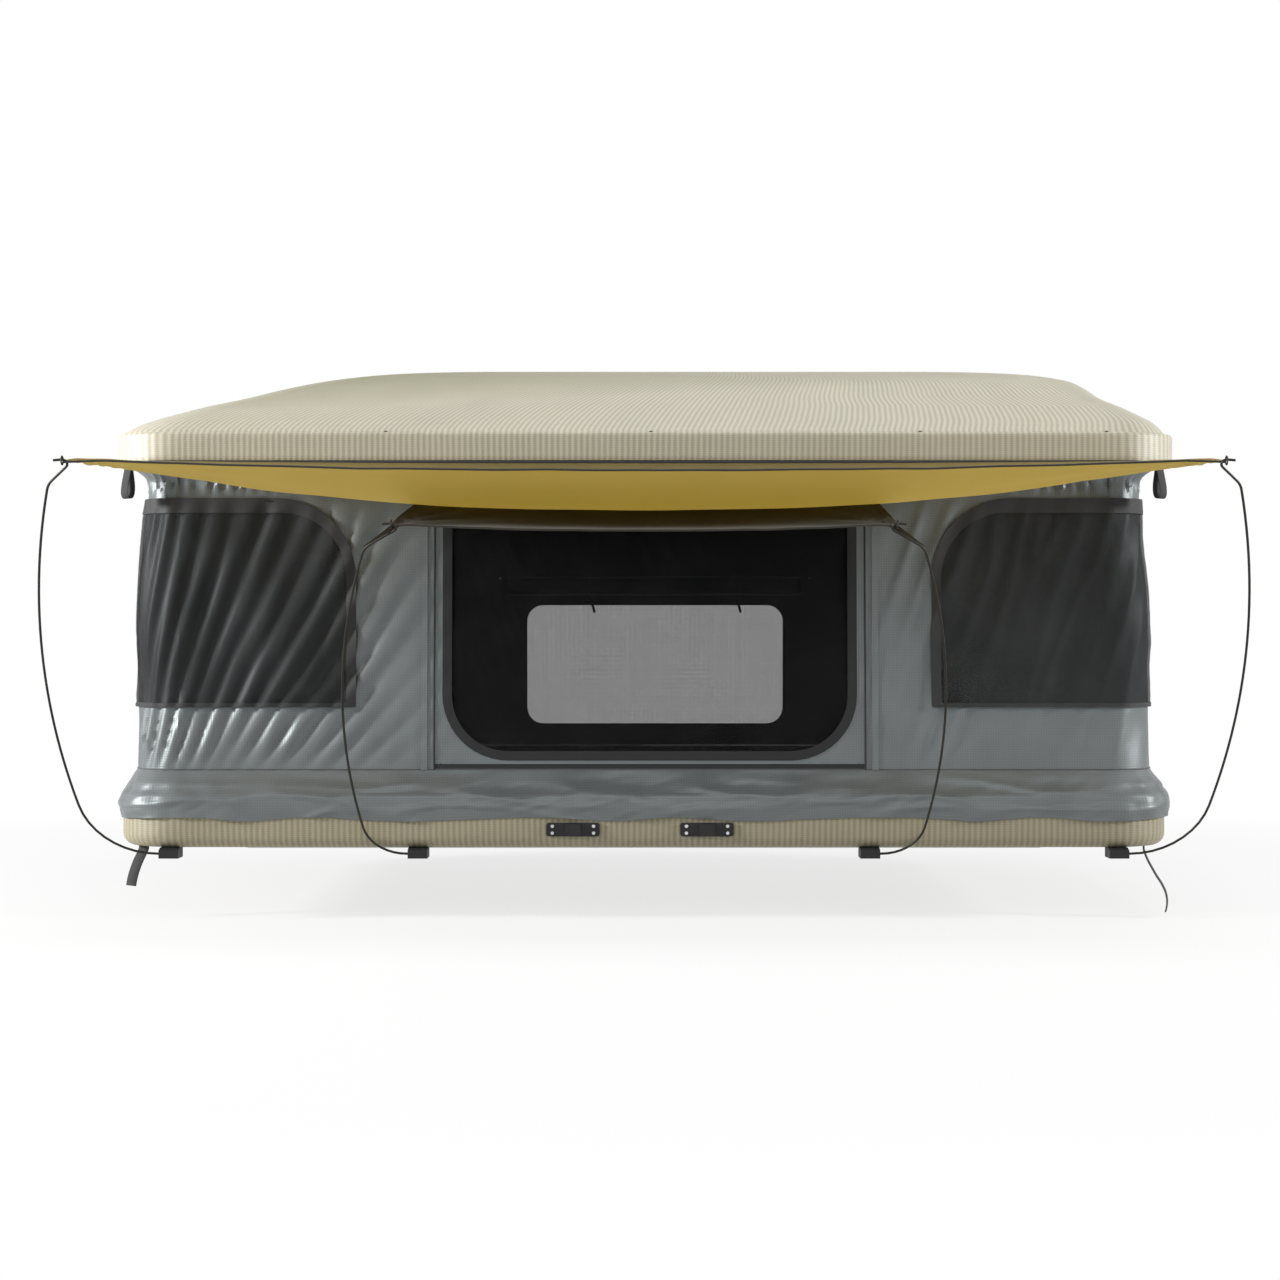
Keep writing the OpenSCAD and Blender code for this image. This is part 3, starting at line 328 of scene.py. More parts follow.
# The door canopy's cloth is the awning's gold darkened as painted shade, standing in for the long awning's
# shadow on it
painted_shade_gold_cloth = gold_material("painted_shade_gold_cloth", (0.065, 0.054, 0.028), (0.018, 0.015, 0.008))
dark_binding = cloth_material("dark_binding", (0.03, 0.026, 0.018), 0.002, 0.1, 0.6)
cover_cloth = cloth_material("cover_cloth", (0.11, 0.115, 0.12), 0.003, 0.3, 0.75, 0.5, kind="Object")
liner_felt = cloth_material("liner_felt", (0.25, 0.26, 0.26), 0.0025, 0.4, 0.85, 0.5, kind="Object")
stitching = cloth_material("stitching", (0.09, 0.095, 0.095), 0.003, 0.1, 0.6)
webbing = webbing_material("webbing", (0.012, 0.012, 0.013))
alloy = metal_material("alloy", (0.55, 0.56, 0.57), 0.32)
zinc = metal_material("zinc", (0.60, 0.60, 0.61), 0.25)
pole_steel = metal_material("pole_steel", (0.022, 0.021, 0.016), 0.35, 0.4)
black_plastic = metal_material("black_plastic", (0.013, 0.013, 0.014), 0.42, 0.0)
black_paint = metal_material("black_paint", (0.016, 0.016, 0.017), 0.28, 0.0)
rubber = metal_material("rubber", (0.012, 0.012, 0.012), 0.65, 0.0)
plywood = wood_material("plywood", (0.36, 0.25, 0.14))


# Mesh helpers

SHARP_ANGLE = math.radians(50)


def flat_list(rows):
    return [item for row in rows for item in row]


def make_piece(name, points, faces, materials, uv=None, slots=None):
    mesh = bpy.data.meshes.new(name)
    mesh.from_pydata([tuple(p) for p in points], [], faces)
    for material in materials:
        mesh.materials.append(material)
    if slots:
        mesh.polygons.foreach_set("material_index", slots)
    mesh.polygons.foreach_set("use_smooth", [True] * len(faces))
    mesh.update()
    mesh.set_sharp_from_angle(angle=SHARP_ANGLE)
    if uv:
        layer = mesh.uv_layers.new(name="metres")
        layer.data.foreach_set("uv", flat_list(uv[loop.vertex_index] for loop in mesh.loops))
    mesh.update()
    return new_object(name, mesh)


def quads(rows, columns, start=0, closed=False, flip=False):
    """Faces of a grid of points numbered row by row."""
    faces = []
    for i in range(rows - 1):
        for j in range(columns if closed else columns - 1):
            k = (j + 1) % columns
            row = start + i * columns
            face = (row + j, row + k, row + columns + k, row + columns + j)
            faces.append(face[::-1] if flip else face)
    return faces


def sheet_piece(name, outer, inner, uv, outer_material, inner_material, closed=False):
    """A thin cloth of two layers with a rim; outer and inner are rows of points."""
    rows, columns = len(outer), len(outer[0])
    count = rows * columns
    faces = quads(rows, columns, 0, closed)
    slots = [0] * len(faces)
    faces += quads(rows, columns, count, closed, True)
    slots += [1] * (len(faces) - len(slots))
    edges = []
    top = count - columns
    for j in range(columns if closed else columns - 1):
        k = (j + 1) % columns
        edges += [(k, j), (top + j, top + k)]
    if not closed:
        last = columns - 1
        for a in range(0, top, columns):
            edges += [(a, a + columns), (a + columns + last, a + last)]
    faces += [(a, b, count + b, count + a) for a, b in edges]
    slots += [0] * len(edges)
    points = flat_list(outer) + flat_list(inner)
    return make_piece(name, points, faces, [outer_material, inner_material], flat_list(uv) * 2, slots)


def loft(name, rings, material, uv=None):
    """A closed piece through rings of points, with flat ends."""
    count = len(rings[0])
    points = flat_list(rings)
    faces = quads(len(rings), count, 0, True)
    faces.append(tuple(range(count))[::-1])
    faces.append(tuple(range(len(points) - count, len(points))))
    return make_piece(name, points, faces, [material], uv)


def sweep(name, centres, section, material, across=None):
    """A closed section carried along points, with flat ends; with across, its side stays near that direction.

    Each of its points is a way to the side, a way outwards and the material's place there.
    """
    rings, uv = [], []
    last = len(centres) - 1
    side = None
    travelled = 0.0
    for i, p in enumerate(centres):
        ahead = (centres[min(i + 1, last)] - centres[max(i - 1, 0)]).normalized()
        side = across or side or ahead.orthogonal().normalized()
        side = (side - ahead * side.dot(ahead)).normalized()
        out = ahead.cross(side)
        if i:
            travelled += (p - centres[i - 1]).length
        rings.append([p + side * a + out * b for a, b, place in section])
        uv += [(place, travelled) for a, b, place in section]
    return loft(name, rings, material, uv)


def tube(name, centres, radius, material, sides=8):
    turns = [2 * math.pi * k / sides for k in range(sides)]
    section = [(radius * math.cos(turn), radius * math.sin(turn), radius * turn) for turn in turns]
    return sweep(name, centres, section, material)


def circle(centre, radius, parts=24):
    """Points once round a centre, in a plane across X."""
    turns = [2 * math.pi * k / parts for k in range(parts + 1)]
    return [centre + Vector((0, radius * math.cos(turn), radius * math.sin(turn))) for turn in turns]


def sewn(name, *pieces):
    """Several pieces as one."""
    with bpy.context.temp_override(active_object=pieces[0], selected_editable_objects=list(pieces)):
        bpy.ops.object.join()
    pieces[0].name = name
    return pieces[0]


def apply_modifiers(piece):
    graph = bpy.context.evaluated_depsgraph_get()
    piece_mesh = bpy.data.meshes.new_from_object(piece.evaluated_get(graph))
    piece.modifiers.clear()
    piece.data = piece_mesh


def put(piece, body, slot, *nodes):
    """Rides on the body and stands for the nodes; the slot is not used."""
    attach(piece, body)
    if nodes:
        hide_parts(*nodes)
    return piece


# Number helpers

def steps(low, high, size):
    """Evenly spaced values from low to high, about size apart."""
    count = max(1, round((high - low) / size))
    return [low + (high - low) * i / count for i in range(count + 1)]


def fade(value, start, width, least=0.0):
    """Grows from least to 1 as the value goes that width past the start."""
    return min(1.0, least + max(0.0, value - start) / width)


def between(a, b, t):
    return a[0] + (b[0] - a[0]) * t, a[1] + (b[1] - a[1]) * t


def line_length(points):
    return sum((b - a).length for a, b in zip(points, points[1:]))


def spline(p, q, r, s, t):
    """Catmull-Rom value between q and r."""
    bend = 2 * p - 5 * q + 4 * r - s
    return 0.5 * (2 * q + (r - p) * t + bend * t * t + (3 * q - p - 3 * r + s) * t ** 3)


def smooth_rows(rows, parts):
    """Rows on smooth curves through the given rows of numbers, with parts steps between neighbours."""
    made = []
    last = len(rows) - 1
    for i in range(last):
        around = rows[max(i - 1, 0)], rows[i], rows[i + 1], rows[min(i + 2, last)]
        made += [[spline(*values, k / parts) for values in zip(*around)] for k in range(parts)]
    made.append(list(rows[-1]))
    return made


# The outline round the tent, measured from the middle of the front towards +X

def turned(along):
    """The same place as a distance of at most half the way round."""
    return along - 2 * HALF_ROUND if along > HALF_ROUND else along


def station(along):
    """Distance from the middle of the nearer long wall, the same on all four quarters."""
    rest = abs(turned(along))
    return min(rest, HALF_ROUND - rest)


def round_tent(along):
    """Core point and outward direction at that distance round the walls."""
    along = turned(along)
    side = 1.0 if along >= 0 else -1.0
    depth = -1.0 if abs(along) <= END_MIDDLE else 1.0
    rest = station(along)
    if rest <= CORE_X:
        return side * rest, depth * CORE_Y, 0.0, depth
    if rest <= CORE_X + ARC:
        angle = (rest - CORE_X) / WALL_RADIUS
        return side * CORE_X, depth * CORE_Y, side * math.sin(angle), depth * math.cos(angle)
    return side * CORE_X, depth * (END_MIDDLE - rest), side, 0.0


def at_radius(along, radius, z):
    x, y, nx, ny = round_tent(along)
    return Vector((x + nx * radius, y + ny * radius, z))


ROUND_STEP = 0.012
ROUND = steps(-HALF_ROUND, HALF_ROUND, ROUND_STEP)[:-1]


# Shape of the walls: a lean, main folds and creases

def wall_lean(z):
    if z < BROW:
        return -WALL_TAPER * (z - SKIRT_LEVEL) / (BROW - SKIRT_LEVEL)
    return -WALL_TAPER + (WALL_FLARE + WALL_TAPER) * ((z - BROW) / (WALL_TOP - BROW)) ** 2


def main_fold(s, z):
    rise = (z - SKIRT_LEVEL) / (BROW - SKIRT_LEVEL)
    slack = math.sin(math.pi * rise) if 0 < rise < 1 else 0.0
    turn = 2 * math.pi
    wave = 0.6 * math.sin(turn * (s / 0.41 + z / 0.8)) + 0.4 * math.sin(turn * (s / 0.26 - z / 0.64))
    return FOLD_DEPTH * slack * fade(s, 0.442, 0.26, 0.12) * wave


def ridge(x, y, seed):
    """Creases: noise folded at zero, from -0.4 to 0.6."""
    return 0.6 - min(1.0, abs(noise.noise(Vector((x, y, seed)))) * 2.2)


FAN_FOOT = (-1.20, -0.45)
FAN_STEP = 0.047
FAN_ROUNDING = 0.05
FAN_END = -1.7
FAN_RISE = 0.0135
FAN_STREAK_RISE = 0.0025
STREAK_RISE = 0.0050
WRINKLE_RISE = 0.0006
PLEAT_LOW = 0.744
PLEAT_RISE = 0.0042
PLEAT_PITCH = 0.026


def fan(along, z):
    """Rounded folds that spread from a point below the left corner, from about -0.3 to 0.5."""
    angle = math.atan2(z - FAN_FOOT[1], along - FAN_FOOT[0])
    sway = 0.35 * noise.noise(Vector((along / 0.25, z / 0.4, 2.0)))
    height = 0.45 + 0.55 * abs(noise.noise(Vector((angle / 0.09, z / 0.35, 9.0))) * 2)
    wave = math.sin(math.pi * (angle / FAN_STEP + sway))
    return min(1.0, height) * (math.sqrt(wave * wave + FAN_ROUNDING) - 0.5)


def creases(along, z):
    """Fine wrinkles: a fan of folds at the left end, soft streaks elsewhere, pleats under the lid."""
    s = station(along)
    along = turned(along)
    if along < CORE_X - HALF_ROUND:
        along += 2 * HALF_ROUND
    streak = ridge((along - 0.34 * z) / 0.055, z / 0.55 + along / 0.9, 7.0)
    wrinkle = ridge(along / 0.022 - z / 0.045, z / 0.05, 11.0)
    amount = STREAK_RISE * streak + WRINKLE_RISE * wrinkle
    if FAN_END < along < 0:
        share = fade(along, FAN_END, 0.3)
        amount = share * (FAN_RISE * fan(along, z) + FAN_STREAK_RISE * streak) + (1 - share) * amount
    calm = fade(s, 0.45, 0.16, 0.20) * fade(z, SKIRT_LEVEL, 0.07, 0.15) * fade(0.750, z, 0.05)
    pleat = math.sin(math.pi * fade(z, PLEAT_LOW, WALL_TOP - PLEAT_LOW))
    gather = PLEAT_RISE * pleat * math.sin(2 * math.pi * (along / PLEAT_PITCH + 0.8 * streak))
    seam = fade(abs(abs(turned(along)) - HALF_ROUND + CORE_X), 0.0, 0.08)
    return seam * (calm * amount + fade(s, 0.50, 0.12) * gather)


def wall_point(along, z, proud=0.0):
    radius = WALL_RADIUS + wall_lean(z) + main_fold(station(along), z) + creases(along, z) + proud
    return at_radius(along, radius, z)


def wall_cloth(name, grid, outer=silver_cloth, inner=lining_cloth, proud=0.0, thickness=CLOTH, closed=False):
    """Cloth on the wall's surface; grid has rows of places, each a distance round the tent and a height."""
    front, back = (
        [[wall_point(a, z, lift) for a, z in row] for row in grid] for lift in (proud, proud - thickness)
    )
    return sheet_piece(name, front, back, grid, outer, inner, closed)


def net_cloth(name, grid, material, proud=NET_PROUD):
    return wall_cloth(name, grid, material, material, proud, NET_THICKNESS)


def box_grid(left, right, low, high, size=0.007):
    return [[(a, z) for a in steps(left, right, size)] for z in steps(low, high, size)]


OUTLINE_STEP = 0.012
CORNER_PARTS = 12


def side_counts(box):
    """Steps along the four sides of a box."""
    left, right, low, high = box
    return [max(2, round(length / OUTLINE_STEP)) for length in (right - left, high - low) * 2]


def rounded_outline(box, radii, counts):
    """Closed outline of a box with rounded corners, lower left first."""
    left, right, low, high = box
    corners = [
        (left, low, 1, 1, 180), (right, low, -1, 1, 270), (right, high, -1, -1, 0), (left, high, 1, -1, 90)
    ]
    runs = []
    for (a, z, sa, sz, turn), radius in zip(corners, radii):
        angles = [math.radians(turn + 90 * k / CORNER_PARTS) for k in range(CORNER_PARTS + 1)]
        runs.append([
            (a + sa * radius + radius * math.cos(t), z + sz * radius + radius * math.sin(t)) for t in angles
        ])
    outline = []
    for i, run in enumerate(runs):
        ahead = runs[(i + 1) % 4][0]
        outline += run + [between(run[-1], ahead, k / counts[i]) for k in range(1, counts[i])]
    return outline


def rounded_fill(box, radii, inset=0.0, size=0.010):
    """Rows of places that fill such an outline, drawn in by inset."""
    left, right, low, high = box
    lower_left, lower_right, upper_right, upper_left = radii

    def draw_in(z, lower, upper):
        reach = 0.0
        for radius, depth in ((lower, z - low), (upper, high - z)):
            if depth < radius:
                up = min(radius - inset, radius - depth)
                reach = max(reach, radius - inset - math.sqrt(max(0.0, (radius - inset) ** 2 - up * up)))
        return reach + inset

    columns = max(2, round((right - left) / size))
    grid = []
    for z in steps(low + inset, high - inset, size):
        a = left + draw_in(z, lower_left, upper_left)
        b = right - draw_in(z, lower_right, upper_right)
        grid.append([(a + (b - a) * i / columns, z) for i in range(columns + 1)])
    return grid


TAPE_PARTS = 6
FRAME_PARTS = 8


def tape_piece(name, box, radii, widths, proud, material):
    """A raised tape inside an outline on the wall; widths are those at the sides, below and above."""
    left, right, low, high = box
    sides, below, above = widths
    counts = side_counts(box)
    profile = [(0.0, 0.0)] + [(k / TAPE_PARTS, TAPE_LIFT) for k in range(TAPE_PARTS + 1)] + [(1.0, 0.0)]
    rows, uv = [], []
    for share, lift in profile:
        inner = (left + share * sides, right - share * sides, low + share * below, high - share * above)
        bends = [max(SMALL_CORNER, radius - share * max(widths)) for radius in radii]
        line = rounded_outline(inner, bends, counts)
        rows.append([wall_point(a, z, proud + lift) for a, z in line])
        uv += [(k * OUTLINE_STEP, share * sides) for k in range(len(line))]
    return make_piece(name, flat_list(rows), quads(len(profile), len(rows[0]), 0, True), [material], uv)


def frame_cloth(name, outer_box, inner_box, radii):
    """Wall cloth between a plain box and a rounded opening in it."""
    counts = side_counts(outer_box)
    outside = rounded_outline(outer_box, [SMALL_CORNER] * 4, counts)
    inside = rounded_outline(inner_box, radii, counts)
    grid = [
        [between(a, b, k / FRAME_PARTS) for a, b in zip(outside, inside)] for k in range(FRAME_PARTS + 1)
    ]
    return wall_cloth(name, grid, closed=True)


# Straps: pull loops on the lid and two hanging tails under the base

WEBBING_WIDTH = 0.025
WEBBING_THICKNESS = 0.0016
LEFT_TAIL = [
    (-1.036, -0.560, 0.0216), (-1.036, -0.560, 0.014), (-1.041, -0.562, 0.002), (-1.048, -0.565, -0.014),
    (-1.054, -0.568, -0.032), (-1.058, -0.570, -0.048), (-1.060, -0.572, -0.062),
]
RIGHT_TAIL = [
    (1.036, -0.560, 0.0216), (1.036, -0.560, 0.012), (1.042, -0.563, -0.006), (1.051, -0.566, -0.024),
    (1.061, -0.569, -0.042), (1.071, -0.571, -0.058), (1.079, -0.572, -0.076), (1.082, -0.572, -0.096),
    (1.079, -0.571, -0.116),
]
LOOP = [
    (-1.054, -0.620, 0.8108), (-1.054, -0.620, 0.800), (-1.052, -0.618, 0.780), (-1.0505, -0.6165, 0.762),
    (-1.051, -0.617, 0.747), (-1.0535, -0.6195, 0.7385), (-1.0575, -0.6235, 0.736), (-1.061, -0.627, 0.739),
    (-1.0625, -0.6285, 0.748), (-1.0615, -0.6275, 0.764), (-1.0585, -0.6245, 0.784),
    (-1.0562, -0.6222, 0.800), (-1.0562, -0.6222, 0.8108),
]


def add_strap(name, route, across, body, node):
    """Flat webbing along a route, with its width kept near one direction."""
    half, edge = WEBBING_WIDTH / 2, WEBBING_THICKNESS / 2
    upper = [(half, edge * 0.3), (half * 0.95, edge), (0, edge), (-half * 0.95, edge), (-half, edge * 0.3)]
    section = [(a, b, a) for a, b in upper] + [(-a, -b, -a) for a, b in upper]
    centres = [Vector(p) for p in smooth_rows(route, 5)]
    piece = put(sweep(name, centres, section, webbing, Vector(across)), body, "webbing", node)
    line_length(centres)


def add_straps():
    for name, route, across in (("left", LEFT_TAIL, (0.9, -0.4, 0)), ("right", RIGHT_TAIL, (0.3, 0.95, 0))):
        add_strap("strap_tail_" + name, route, across, "base", "closing_strap_" + name)
    for side, name in SIDES:
        route = [(-side * x, y, z) for x, y, z in LOOP]
        across = (-0.71 * side, -0.71, 0)
        add_strap("pull_loop_" + name, route, across, "lid", "lid_loop_" + name)


add_straps()


# Base tray and lid

def ring_points(radius, z):
    return [at_radius(a, radius, z) for a in ROUND]


def shell_uv(rings):
    """Distance round the outline, and the distance up the profile at the front."""
    rise, places = 0.0, []
    front = len(ROUND) // 2
    for i, ring in enumerate(rings):
        if i:
            rise += (ring[front] - rings[i - 1][front]).length
        places += [(along, rise) for along in ROUND]
    return places


EDGE_PARTS = 6
TRAY_LOW = 0.052
TRAY_HIGH = 0.112


def base_profile():
    """Radius and height up the outside of the tray, over its rim and down inside."""
    inside = BASE_RADIUS - SHELL_WALL
    profile = []
    for k in range(EDGE_PARTS + 1):
        turn = math.pi / 2 * k / EDGE_PARTS
        inward, up = BASE_EDGE * (1 - math.sin(turn)), BASE_EDGE * (1 - math.cos(turn))
        profile.append((BASE_RADIUS - inward, BASE_LOW + up))
    profile += [(BASE_RADIUS, z) for z in steps(TRAY_LOW, TRAY_HIGH, ROUND_STEP)]
    profile += [(BASE_RADIUS, BASE_TOP - 0.003), (BASE_RADIUS - 0.001, BASE_TOP - 0.001)]
    profile += [(BASE_RADIUS - 0.003, BASE_TOP), (inside, BASE_TOP)]
    profile += [(inside, FLOOR_LOW + BASE_EDGE), (inside - 0.008, FLOOR_LOW + 0.008)]
    profile += [(inside - BASE_EDGE, FLOOR_LOW)]
    return profile


def add_base():
    rings = [ring_points(radius, z) for radius, z in base_profile()]
    put(loft("base_tray", rings, base_tan, shell_uv(rings)), "base", "base_moulding", "base_shell")


# Share of the crown's height, and how far in from the left, the right and the long sides
DOME = [
    (0.037, 0.018, 0.018, 0.018), (0.174, 0.067, 0.040, 0.042), (0.342, 0.160, 0.092, 0.078),
    (0.497, 0.262, 0.143, 0.108), (0.646, 0.345, 0.170, 0.140), (0.783, 0.441, 0.207, 0.180),
    (0.888, 0.560, 0.300, 0.235), (0.963, 0.740, 0.480, 0.320), (1.000, 0.860, 0.640, 0.430),
]
DOME_RADIUS = 0.060
LID_X = CORE_X + LID_RADIUS
LID_Y = CORE_Y + LID_RADIUS
LID_WALL = 0.007

# How far in and up from the lid's edge: its lip, the shoulder below its ledge, and the ledge from below
LIP = [(0.006, 0.0), (0.0015, 0.0), (0.0, 0.002)]
SHOULDER = [(0.0, -0.006), (0.0008, -0.0025), (0.0025, -0.0005), (0.005, 0.0), (0.013, 0.0)]
UNDER_LEDGE = [(0.014, -0.006), (0.006, -0.008)]
RIM_LOW = 0.822
RIM_HIGH = 0.856


def stretched_ring(half_x, half_y, radius, z, middle_x=0.0, places=ROUND):
    """The tent's outline drawn out or in to a rounded rectangle of that size."""
    points = []
    for along in places:
        x, y, nx, ny = round_tent(along)
        points.append(Vector((
            middle_x + x / CORE_X * (half_x - radius) + nx * radius,
            y / CORE_Y * (half_y - radius) + ny * radius,
            z,
        )))
    return points


def dome_ring(share, left, right, side, drop=0.0):
    """One level of the crown: a rounded rectangle drawn in more on the left than on the right."""
    radius = max(DOME_RADIUS, LID_RADIUS - side)
    low_x, high_x = left - LID_X, LID_X - right
    height = LEDGE + LID_CROWN * share - drop
    return stretched_ring((high_x - low_x) / 2, LID_Y - side, radius, height, (low_x + high_x) / 2)


def edge_rings(level, profile):
    return [ring_points(LID_RADIUS - inward, level + up) for inward, up in profile]


def add_lid():
    outer = edge_rings(LID_LEVEL, LIP)
    outer += [ring_points(LID_RADIUS, z) for z in steps(RIM_LOW, RIM_HIGH, ROUND_STEP)]
    outer += edge_rings(LEDGE, SHOULDER) + [dome_ring(*row) for row in smooth_rows(DOME, 5)]
    inner = [dome_ring(*row, drop=LID_WALL) for row in smooth_rows(DOME, 2)[::-1]]
    inner += edge_rings(LEDGE, UNDER_LEDGE)
    count = len(ROUND)
    start = len(outer) * count
    faces = quads(len(outer), count, 0, True) + quads(len(inner), count, start, True)
    faces.append(tuple(range(start - count, start)))
    faces.append(tuple(range(start, start + count))[::-1])
    close = start + (len(inner) - 1) * count
    faces += [(close + j, close + (j + 1) % count, (j + 1) % count, j) for j in range(count)]
    rings = outer + inner
    piece = make_piece("lid_cover", flat_list(rings), faces, [lid_tan], shell_uv(rings))
    put(piece, "lid", "lid_moulding", "lid_shell")


add_base()
add_lid()


# Fabric walls on the base


def dress(piece, slot, *nodes):
    """Rides on the base, with a mesh of its own."""
    put(piece, "base", slot, *nodes)
    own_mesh(piece)
    return piece


def cut_height(low, high):
    """Height of the flat cut between two levels of the wall, along its flare under the lid."""
    levels = steps(low, high, 0.004)
    return sum(math.hypot(b - a, wall_lean(b) - wall_lean(a)) for a, b in zip(levels, levels[1:]))


def hang(piece, slot, node, height):
    """Dresses a wall's sheet; the height is not used."""
    dress(piece, slot, node)


def tape_both_sides(name, box, radii):
    for ending, proud in (("", 0.0), ("_inside", -CLOTH - TAPE_LIFT)):
        dress(tape_piece(name + ending, box, radii, (TAPE, TAPE, TAPE), proud, black_tape), "zip_tape")


def add_walls():
    back = HALF_ROUND - CORE_X
    for name, left, right, low, node in (
        ("front_panel_left", -CORE_X, DOOR_LEFT, SKIRT_LEVEL, "front_wall_left"),
        ("front_panel_right", DOOR_RIGHT, CORE_X, SKIRT_LEVEL, "front_wall_right"),
        ("end_panel_left", -back, -CORE_X, SKIRT_LEVEL, "end_wall_left"),
        ("end_panel_right", CORE_X, back, SKIRT_LEVEL, "end_wall_right"),
        ("door_header", DOOR_LEFT, DOOR_RIGHT, BROW, "front_header"),
    ):
        piece = wall_cloth(name, box_grid(left, right, low, WALL_TOP))
        hang(piece, "wall_cloth", node, cut_height(low, WALL_TOP))


# Rear wall with its window
REAR = HALF_ROUND
REAR_BOX = (REAR - REAR_RIGHT, REAR - REAR_LEFT, REAR_LOW, REAR_HIGH)
REAR_MARGIN = 0.05
REAR_CORNER = 0.060


def add_rear_wall():
    left, right, _, high = REAR_BOX
    left, right, high = left - REAR_MARGIN, right + REAR_MARGIN, high + REAR_MARGIN
    corners = [REAR_CORNER] * 4
    panels = [
        wall_cloth(name, box_grid(*box, WALL_TOP))
        for name, box in (
            ("rear_panel_right", (REAR - CORE_X, left, SKIRT_LEVEL)),
            ("rear_panel_left", (right, REAR + CORE_X, SKIRT_LEVEL)),
            ("rear_panel_top", (left, right, high)),
        )
    ]
    surround = frame_cloth("rear_surround", (left, right, SKIRT_LEVEL, high), REAR_BOX, corners)
    wall = sewn("rear_panel", surround, *panels)
    width, height = REAR_RIGHT - REAR_LEFT, REAR_HIGH - REAR_LOW
    hang(wall, "wall_cloth", "rear_wall", cut_height(SKIRT_LEVEL, WALL_TOP))
    tape_both_sides("rear_window_tape", REAR_BOX, corners)
    net = net_cloth("rear_window_net", rounded_fill(REAR_BOX, corners, 0.004), rear_mesh_cloth)
    hang(net, "mesh_cloth", "rear_window_mesh", height)


# Radius and height of the skirt, the cloth that hangs over the tray's rim
SKIRT = [
    (0.1326, 0.081), (0.1345, 0.094), (0.135, 0.106), (0.1348, 0.118),
    (0.1325, 0.130), (0.122, 0.144), (0.111, 0.160), (0.1005, 0.1797),
]
SKIRT_CUT = 0.114
TRAY_BEHIND = 0.132
DRAPE_RISE = 0.0065
FINE_RISE = 0.0022
PUCKER_RISE = 0.0100
HEM_SWING = 0.004
HEM_WAVES = 9
STITCH_RADIUS = 0.0013
STITCH_PROUD = 0.0006


def skirt_crease(along, z):
    """Long shallow drapes and puckered corners; only outwards where the tray lies behind."""
    bend = max(0.0, 1 - abs(station(along) - CORE_X - ARC / 2) / 0.2)
    drape = ridge(along / 0.22 + z / 0.10, z / 0.045 - along / 0.7, 21.0)
    pucker = ridge(along / 0.035, z / 0.09, 33.0)
    fine = ridge(along / 0.06 - z / 0.03, z / 0.04, 45.0)
    amount = DRAPE_RISE * drape + FINE_RISE * fine + PUCKER_RISE * bend * pucker
    calm = fade(HALF_ROUND, abs(along), 0.06) * fade(SKIRT_LEVEL, z, 0.03)
    return calm * (max(0.0, amount) if z < TRAY_BEHIND else amount)


def add_skirt():
    profile = smooth_rows(SKIRT, 4)
    outer, inner = [], []
    for radius, z in profile:
        swing = HEM_SWING * fade(0.11, z, 0.03)
        turns = [2 * math.pi * HEM_WAVES * a / HALF_ROUND + math.sin(8 * a) for a in ROUND]
        levels = [z + swing * math.sin(turn) for turn in turns]
        radii = [radius + skirt_crease(a, z) for a in ROUND]
        outer.append([at_radius(a, r, h) for a, r, h in zip(ROUND, radii, levels)])
        inner.append([at_radius(a, r - CLOTH, h) for a, r, h in zip(ROUND, radii, levels)])
    uv = [[(a, z) for a in ROUND] for radius, z in profile]
    piece = sheet_piece("skirt_cloth", outer, inner, uv, silver_cloth, lining_cloth, True)
    hang(piece, "wall_cloth", "skirt", SKIRT_CUT)
    line = [wall_point(a, SKIRT_LEVEL + 0.001, STITCH_PROUD) for a in ROUND + ROUND[:1]]
    dress(tube("skirt_seam", line, STITCH_RADIUS, stitching, 6), "wall_cloth")


WINDOW_CORNER = 0.165
WINDOW_PROUD = 0.0052
WINDOW_TAPE_PROUD = 0.0054


def add_end_windows():
    far = HALF_ROUND - WINDOW_REACH
    radii = [SMALL_CORNER, SMALL_CORNER, WINDOW_CORNER, WINDOW_CORNER]
    for name, left, right in (("left", -far, -WINDOW_REACH), ("right", WINDOW_REACH, far)):
        box = (left, right, WINDOW_LOW, WINDOW_HIGH)
        fill = rounded_fill(box, radii, 0.003, 0.007)
        net = net_cloth("end_net_" + name, fill, window_mesh_cloth, WINDOW_PROUD)
        hang(net, "mesh_cloth", "window_mesh_" + name, WINDOW_HIGH - WINDOW_LOW)
        tape = tape_piece("end_tape_" + name, box, radii, WINDOW_TAPE, WINDOW_TAPE_PROUD, grey_tape)
        dress(tape, "zip_tape")


DOOR_BOX = (-0.413, 0.437, 0.199, BROW)
DOOR_CORNER = 0.135
HEADER_LAP = 0.004
SEAM = 0.013
SEAM_SHIFT = 0.014
SEAM_PROUD = 0.0022
SEAM_THICKNESS = 0.0012
COIL_RADIUS = 0.0021
COIL_PROUD = 0.0007
SILL_PROUD = 0.0008


